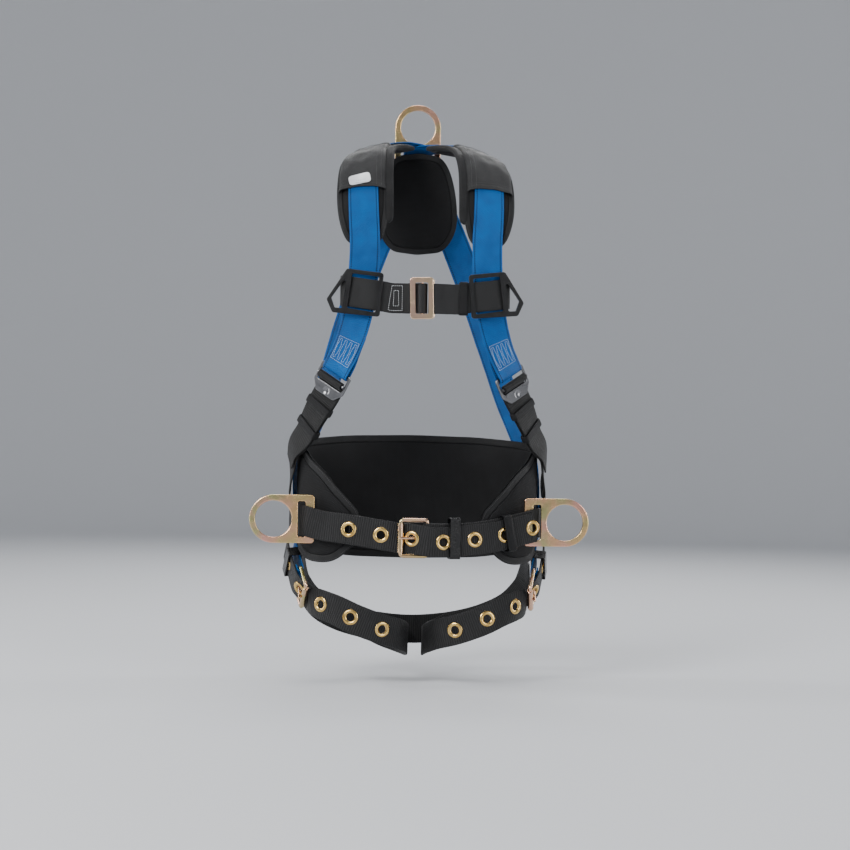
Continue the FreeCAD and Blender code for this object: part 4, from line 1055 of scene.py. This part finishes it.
def swell(obj, voxel, cap):
    """Voxel remesh, some frames of cloth under pressure, a capped result, and one subdivision."""
    scene = bpy.context.scene
    remesh = obj.modifiers.new("remesh", "REMESH")
    remesh.mode = "VOXEL"
    remesh.voxel_size = voxel * MM
    apply_modifiers(obj)
    rest = np.array([v.co for v in obj.data.vertices])
    cloth = obj.modifiers.new("cloth", "CLOTH")
    cloth.settings.use_pressure = True
    cloth.settings.uniform_pressure_force = 4.0
    cloth.settings.effector_weights.gravity = 0
    cloth.settings.quality = 5
    cloth.settings.mass = 0.3
    cloth.collision_settings.use_collision = False
    cloth.point_cache.frame_end = SWELL_FRAMES
    for number in range(1, SWELL_FRAMES + 1):
        scene.frame_set(number)
    shaped = obj.evaluated_get(bpy.context.evaluated_depsgraph_get()).to_mesh()
    moved = np.array([v.co for v in shaped.vertices])
    obj.modifiers.clear()
    scene.frame_set(1)
    gap = moved - rest
    size = np.linalg.norm(gap, axis=1)[:, None]
    gap *= np.minimum(1, cap * MM / np.maximum(size, 1e-9))
    obj.data.vertices.foreach_set("co", (rest + gap).astype(np.float32).ravel())
    subdivide(obj)


def subdivide(obj):
    obj.modifiers.new("finer", "SUBSURF").levels = 1
    apply_modifiers(obj)


def apply_modifiers(obj):
    mesh = bpy.data.meshes.new_from_object(obj.evaluated_get(bpy.context.evaluated_depsgraph_get()))
    obj.modifiers.clear()
    obj.data = mesh


class Surface:
    """Finds the face of a pad above or below a point."""

    def __init__(self, obj):
        points = [v.co for v in obj.data.vertices]
        self.tree = BVHTree.FromPolygons(points, [tuple(p.vertices) for p in obj.data.polygons])

    def height(self, point, out):
        hit = self.tree.ray_cast(Vector(point + out * 0.03), Vector(-out), 0.06)
        if hit[0] is not None:
            return float((np.array(hit[0]) - point) @ out)
        return np.nan


def smoothed(values, passes=6):
    for _ in range(passes):
        values = 0.5 * values + 0.25 * (np.roll(values, 1, 0) + np.roll(values, -1, 0))
    return values


def rim_path(slab, step=3.0):
    """The closed outline of a pad: points, outward normals and directions into the pad."""
    run = slab.run
    one, two = [run.centre + run.side * (slab.half * sign)[:, None] for sign in (1, -1)]
    loop = np.concatenate([one, two[::-1], one[:1]])
    normals = np.concatenate([run.out, run.out[::-1], run.out[:1]])
    lengths = distances(loop)
    goals = np.linspace(0, lengths[-1], int(lengths[-1] / (step * MM)), endpoint=False)
    points = smoothed(read_off(goals, lengths, loop), 3)
    normals = unit_rows(read_off(goals, lengths, normals))
    along = np.roll(points, -1, 0) - np.roll(points, 1, 0)
    return points, normals, unit_rows(np.cross(along, normals))


def bind_edge(name, pad, slab, width, mirror=False):
    """Binding tape folded over the rim of a pad, with its row of stitches."""
    surface = Surface(pad)
    points, normals, inward = rim_path(slab)
    n = len(points)
    insets = BINDING_INSETS * width * MM
    tops, bottoms = [], []
    for inset in insets:
        base = points + inward * inset
        for sign, heights in ((1, tops), (-1, bottoms)):
            values = np.array([surface.height(base[i], normals[i] * sign) for i in range(n)])
            good = ~np.isnan(values)
            if good.any():
                values[~good] = np.interp(np.flatnonzero(~good), np.flatnonzero(good), values[good])
            else:
                values[:] = 0.002
            heights.append(smoothed(values))
    rim_top, rim_bottom = tops[-1] * 0.55, bottoms[-1] * 0.55
    raise_by = BINDING_RAISE * BINDING_LIFT * MM
    layers = range(len(insets))
    rings = [points + inward * insets[k] + normals * (tops[k] + raise_by[k])[:, None] for k in layers]
    rings.append(points - inward * 0.6 * MM + normals * rim_top[:, None])
    rings.append(points - inward * 0.9 * MM + normals * ((rim_top - rim_bottom) / 2)[:, None])
    rings.append(points - inward * 0.6 * MM - normals * rim_bottom[:, None])
    rings += [points + inward * insets[k] - normals * (bottoms[k] + raise_by[k])[:, None]
              for k in reversed(layers)]
    grid = np.stack(rings, 1)
    m = grid.shape[1]
    i, k = np.meshgrid(np.arange(n), np.arange(m - 1), indexing="ij")
    j = (i + 1) % n
    verts, faces = grid.reshape(-1, 3), quads(i * m + k, j * m + k, j * m + k + 1, i * m + k + 1)
    if mirror:
        verts, faces = mirrored(verts, faces)
    around = np.broadcast_to(distances(points)[:, None], (n, m))
    uv = np.stack([np.broadcast_to(np.arange(m) * 0.0015, (n, m)), around], -1)
    add_object(name, verts, faces, BINDING, uv.reshape(-1, 2))
    line = [(rings[2][i % n] + normals[i % n] * 0.0002, normals[i % n]) for i in range(n + 1)]
    stitches(name + "_stitch", [line], GREY_THREAD, 2.6, 1.0, 0.27, mirror=mirror)


def declare_pad(node):
    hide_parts(node)


def make_pad(node, rows, thick, mat, cap, binding=0.0, ends=5.0, voxel=5.0, upright=False,
             pair=False):
    """A swollen pad for one CAD node, or for a left and a right one."""
    slab = Slab(rows, thick, ends, upright)
    copy = link(bpy.data.objects.new("swelling", bpy.data.meshes.new("swelling")))
    verts, faces = slab.mesh(slab.rim, slab.rim)
    copy.data.from_pydata(verts.tolist(), [], faces.tolist())
    swell(copy, voxel, cap)
    surface = Surface(copy)
    bpy.data.objects.remove(copy)
    verts, faces = slab.mesh(slab.swollen(surface, 1), slab.swollen(surface, -1))
    along = np.broadcast_to(slab.run.s[:, None], slab.u.shape)
    uv = np.stack([slab.u, along], -1).reshape(-1, 2)
    first = node + "_left" if pair else node
    pad = add_object(first + "_foam", verts, faces, mat, np.concatenate([uv, uv]))
    subdivide(pad)
    declare_pad(first)
    if binding:
        bind_edge(first + "_foam_binding", pad, slab, binding)
    if not pair:
        return
    mesh = pad.data.copy()
    mesh.transform(Matrix.Scale(-1, 4, (1, 0, 0)))
    mesh.flip_normals()
    other = link(bpy.data.objects.new(node + "_right_foam", mesh))
    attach(other, "webbing")
    declare_pad(node + "_right")
    if binding:
        bind_edge(node + "_right_foam_binding", pad, slab, binding, mirror=True)


def away_from_neck(rows, i):
    """The direction across a run at row i, on the side away from the middle of the body."""
    along = rows[min(i + 1, len(rows) - 1)][0] - rows[max(i - 1, 0)][0]
    side = unit(np.cross(along, rows[i][1]))
    return side if side[0] > 0 else -side


def widened(rows, widths, sideways=0.0, shift=0.0):
    """The same run at new widths, lifted by shift and moved across itself."""
    rows = lifted(rows, shift)
    return [(p + away_from_neck(rows, i) * sideways, n, widths[i]) for i, (p, n, _) in enumerate(rows)]


def beside(rows, width):
    """Rows of a narrow strip that lies along the inner edge of a wider one."""
    return [(p - away_from_neck(rows, i) * (w / 2 + 0.8 + width / 2), n, width)
            for i, (p, n, w) in enumerate(rows)]


SHOULDER_PAD_ROWS = widened(SHOULDER_ROWS[4:13], [50, 62, 63, 62, 62, 60, 60, 56, 50], 1.0, -7.5)
make_pad("shoulder_pad", SHOULDER_PAD_ROWS, 7.4, MESH, 2.2, 8.5, voxel=4.5, pair=True)
NECK_ROLL_ROWS = beside(blended(SHOULDER_PAD_ROWS, 3)[2:], 13.6)
make_pad("neck_roll", NECK_ROLL_ROWS, 8.6, ROLL, 1.6, ends=10.0, voxel=3.0, pair=True)
DORSAL_ROWS = [row(0, 104, 24, 0, 0.97, 0.25, 74), row(0, 109, -4, 0, 1, 0.1, 92),
               row(0, 112, -42, 0, 1, 0, 108), row(0, 112, -84, 0, 1, 0, 112),
               row(0, 109, -120, 0, 1, -0.05, 84)]
make_pad("dorsal_pad", DORSAL_ROWS, 8.0, MESH, 2.4, 8.5)
WAIST_ROWS = [waist_row(a, 14.0, low, high) for a, low, high in PAD_EDGES]
WAIST_ROWS += [waist_row(-a, 14.0, low, high) for a, low, high in reversed(PAD_EDGES[:-1])]
make_pad("waist_pad", WAIST_ROWS, 8.4, MESH, 2.6, 11.0, ends=14.0, upright=True)

# ---------------------------------------------------------------- sleeves over the shoulder pads


COVER_THICK = 0.0011
HEM = 0.007


def make_covers():
    """A sleeve of plain cloth round strap and pad, with hems at both ends and a seam along the outer side."""
    rows = widened(SHOULDER_ROWS[6:11], [70, 70, 68, 65, 60], 2.0)
    run = Run(rows, 1.5 * MM)
    section = [(-1.0, -12.0), (-1.03, -9.0), (-1.03, -5.0), (-1.0, -1.5), (-0.94, 0.8), (-0.85, 1.9)]
    section += [(x, 2.3 + 1.0 * (1 - (x / 0.8) ** 2)) for x in np.linspace(-0.75, 0.75, 17)]
    section += [(0.85, 1.9), (0.94, 0.8), (1.0, -1.5), (1.03, -5.0), (1.03, -9.0), (1.0, -12.0)]
    share = np.array([p[0] for p in section])
    rise = np.array([p[1] for p in section]) * MM
    n, m = len(run.s), len(share)
    t = run.s / run.length
    hem = np.maximum(np.exp(-(run.s / HEM) ** 8), np.exp(-((run.length - run.s) / HEM) ** 8))
    droop = (0.004 * (share ** 2))[None, :] * (1 - 2 * t)[:, None]
    u = share[None, :] * (run.width / 2)[:, None]
    fold = (0.0006 * np.sin(run.s * 150)[:, None] * np.cos(share * 3)[None, :]
            + 0.0005 * np.sin(share * 9 + run.s[:, None] * 60))
    height = rise[None, :] + hem[:, None] * 0.0007 + fold
    grid = (run.centre[:, None, :] + run.side[:, None, :] * u[..., None]
            + run.out[:, None, :] * height[..., None] - run.along[:, None, :] * droop[..., None])
    a, b, c, d = corners(np.arange(n * m).reshape(n, m))
    uv = np.stack([u, np.broadcast_to(run.s[:, None], (n, m))], -1).reshape(-1, 2)
    stitch = lambda i, k: (grid[i, k] + run.out[i] * COVER_THICK, run.out[i])
    lines = [[stitch(i, k) for k in range(3, m - 3)] for i in (4, 7, n - 5, n - 8)]
    lines += [[stitch(i, k) for i in range(2, n - 2)] for k in (5, 7)]
    for side, flip in SIDES:
        verts, faces = grid.reshape(-1, 3), quads(a, d, c, b)
        if flip:
            verts, faces = mirrored(verts, faces)
        cover = add_object("pad_cover_" + side + "_cloth", verts, faces, SLEEVE, uv)
        solid = cover.modifiers.new("solid", "SOLIDIFY")
        solid.thickness = COVER_THICK
        solid.offset = 1.0
        apply_modifiers(cover)
        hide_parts("pad_cover_" + side)
        stitches("pad_cover_" + side + "_stitch", lines, GREY_THREAD, 2.4, 0.9, 0.26, mirror=flip)
    make_label(run)


def round_box(half_a, half_b, corner, count):
    """The outline of a rectangle with round corners."""
    path = []
    for a, b, start in ((1, 1, 0), (-1, 1, 90), (-1, -1, 180), (1, -1, 270)):
        for k in range(count + 1):
            turn = math.radians(start + 90 * k / count)
            path.append((a * (half_a - corner) + corner * math.cos(turn),
                         b * (half_b - corner) + corner * math.sin(turn)))
    return path


def make_label(run):
    """A blank white patch with round corners near the front hem of the right sleeve."""
    outline = np.array(round_box(0.0165, 0.009, 0.005, 10))
    middle = (0.0135, 0.003)
    spin = math.radians(-10)
    rings = [(1.0, 0.0), (1.0, 0.5), (0.97, 0.75), (0.9, 0.75), (0.6, 0.75), (0.3, 0.75), (0.0, 0.75)]
    verts = []
    for scale, lift in rings:
        for u, s in outline * scale:
            ru, rs = u * math.cos(spin) - s * math.sin(spin), u * math.sin(spin) + s * math.cos(spin)
            crown = 3.3 - ((middle[1] + ru) / 0.028) ** 2
            point, _ = run.at(middle[0] + rs, middle[1] + ru, (crown + 1.35 + lift) * MM)
            verts.append(point * vec(-1, 1, 1))
    n = len(outline)
    faces = []
    for r in range(len(rings) - 1):
        for k in range(n):
            m = (k + 1) % n
            faces.append((r * n + k, (r + 1) * n + k, (r + 1) * n + m, r * n + m))
    uv = np.concatenate([outline * scale for scale, _ in rings])
    label = add_object("pad_label_right_patch", verts, faces, LABEL, uv)
    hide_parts("pad_label_right")


make_covers()

# ---------------------------------------------------------------- elastic keepers


BAND_RIM = 0.3
BAND_BULGE = 0.5


def band(node, place, along, up, height, depth, length, wall, body, mirror=False):
    """An elastic loop round one or two layers of webbing. up runs across the webbing."""
    along = unit(along)
    up = unit(up - along * (up @ along))
    out = np.cross(up, along)
    path = round_box(height / 2, depth / 2, min(2.2, depth / 2), 5)
    loop = np.array([(a, b, 0.0) for a, b in path + path[:1]])
    lengths = distances(loop)
    loop = read_off(np.arange(0, lengths[-1], 1.0), lengths, loop)[:, :2]
    ahead = np.roll(loop, -1, 0) - np.roll(loop, 1, 0)
    normal = unit_rows(np.stack([ahead[:, 1], -ahead[:, 0]], 1))
    t = np.linspace(-1, 1, 19)
    verts = []
    for outer in (True, False):
        for x in t:
            edge = min(1.0, (1 - abs(x)) / 0.08)
            grow = (wall - BAND_RIM) * (0.4 + 0.6 * edge) + BAND_RIM + BAND_BULGE * (1 - x ** 4)
            for a, b in loop + normal * (grow if outer else 0.0):
                verts.append((place + along * (x * length / 2) + up * a + out * b) * MM)
    n, m = len(t), len(loop)
    faces = []
    inner = n * m
    for i in range(n - 1):
        low, high = i * m, (i + 1) * m
        for k in range(m):
            l = (k + 1) % m
            faces.append((low + k, low + l, high + l, high + k))
            faces.append((inner + low + k, inner + high + k, inner + high + l, inner + low + l))
    last = (n - 1) * m
    for k in range(m):
        l = (k + 1) % m
        faces.append((k, inner + k, inner + l, l))
        faces.append((last + k, last + l, inner + last + l, inner + last + k))
    verts, faces = np.array(verts), np.array(faces)
    if mirror:
        verts, faces = mirrored(verts, faces)
    uv = np.array([(x * length / 2 * MM, k * MM) for _ in range(2) for x in t for k in range(m)])
    made = add_object(node + "_band", verts, faces, ELASTIC, uv, body)
    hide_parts(node)


def make_elastic_keepers():
    up = vec(0, 0, 1)
    band("chest_elastic_keeper", vec(56.7, -112.5, -209.3), vec(1, 0.03, 0), up, 47.6, 9.0, 13.0, 0.8,
         "chest_group")
    band("belt_label_keeper", vec(132.0, -95.0, -559.4), vec(0.93, 0.37, 0.21), up, 53.4, 14.0, 14.0, 1.1,
         "belt_label_keeper")
    places = {"upper": (vec(154.2, -59.6, -372.5), vec(0.42, 0.36, -0.83), vec(0.62, -0.78, 0), 9.0),
              "lower": (vec(170.0, -43.5, -405.0), vec(0.41, 0.46, -0.8), vec(0.8, -0.6, 0), 10.5)}
    for name, (place, along, out, depth) in places.items():
        for side, flip in SIDES:
            band("torso_keeper_" + name + "_" + side, place, along, np.cross(along, out), 47.4, depth, 12.0,
                 0.9, "torso_" + name + "_keeper_" + side, flip)


make_elastic_keepers()
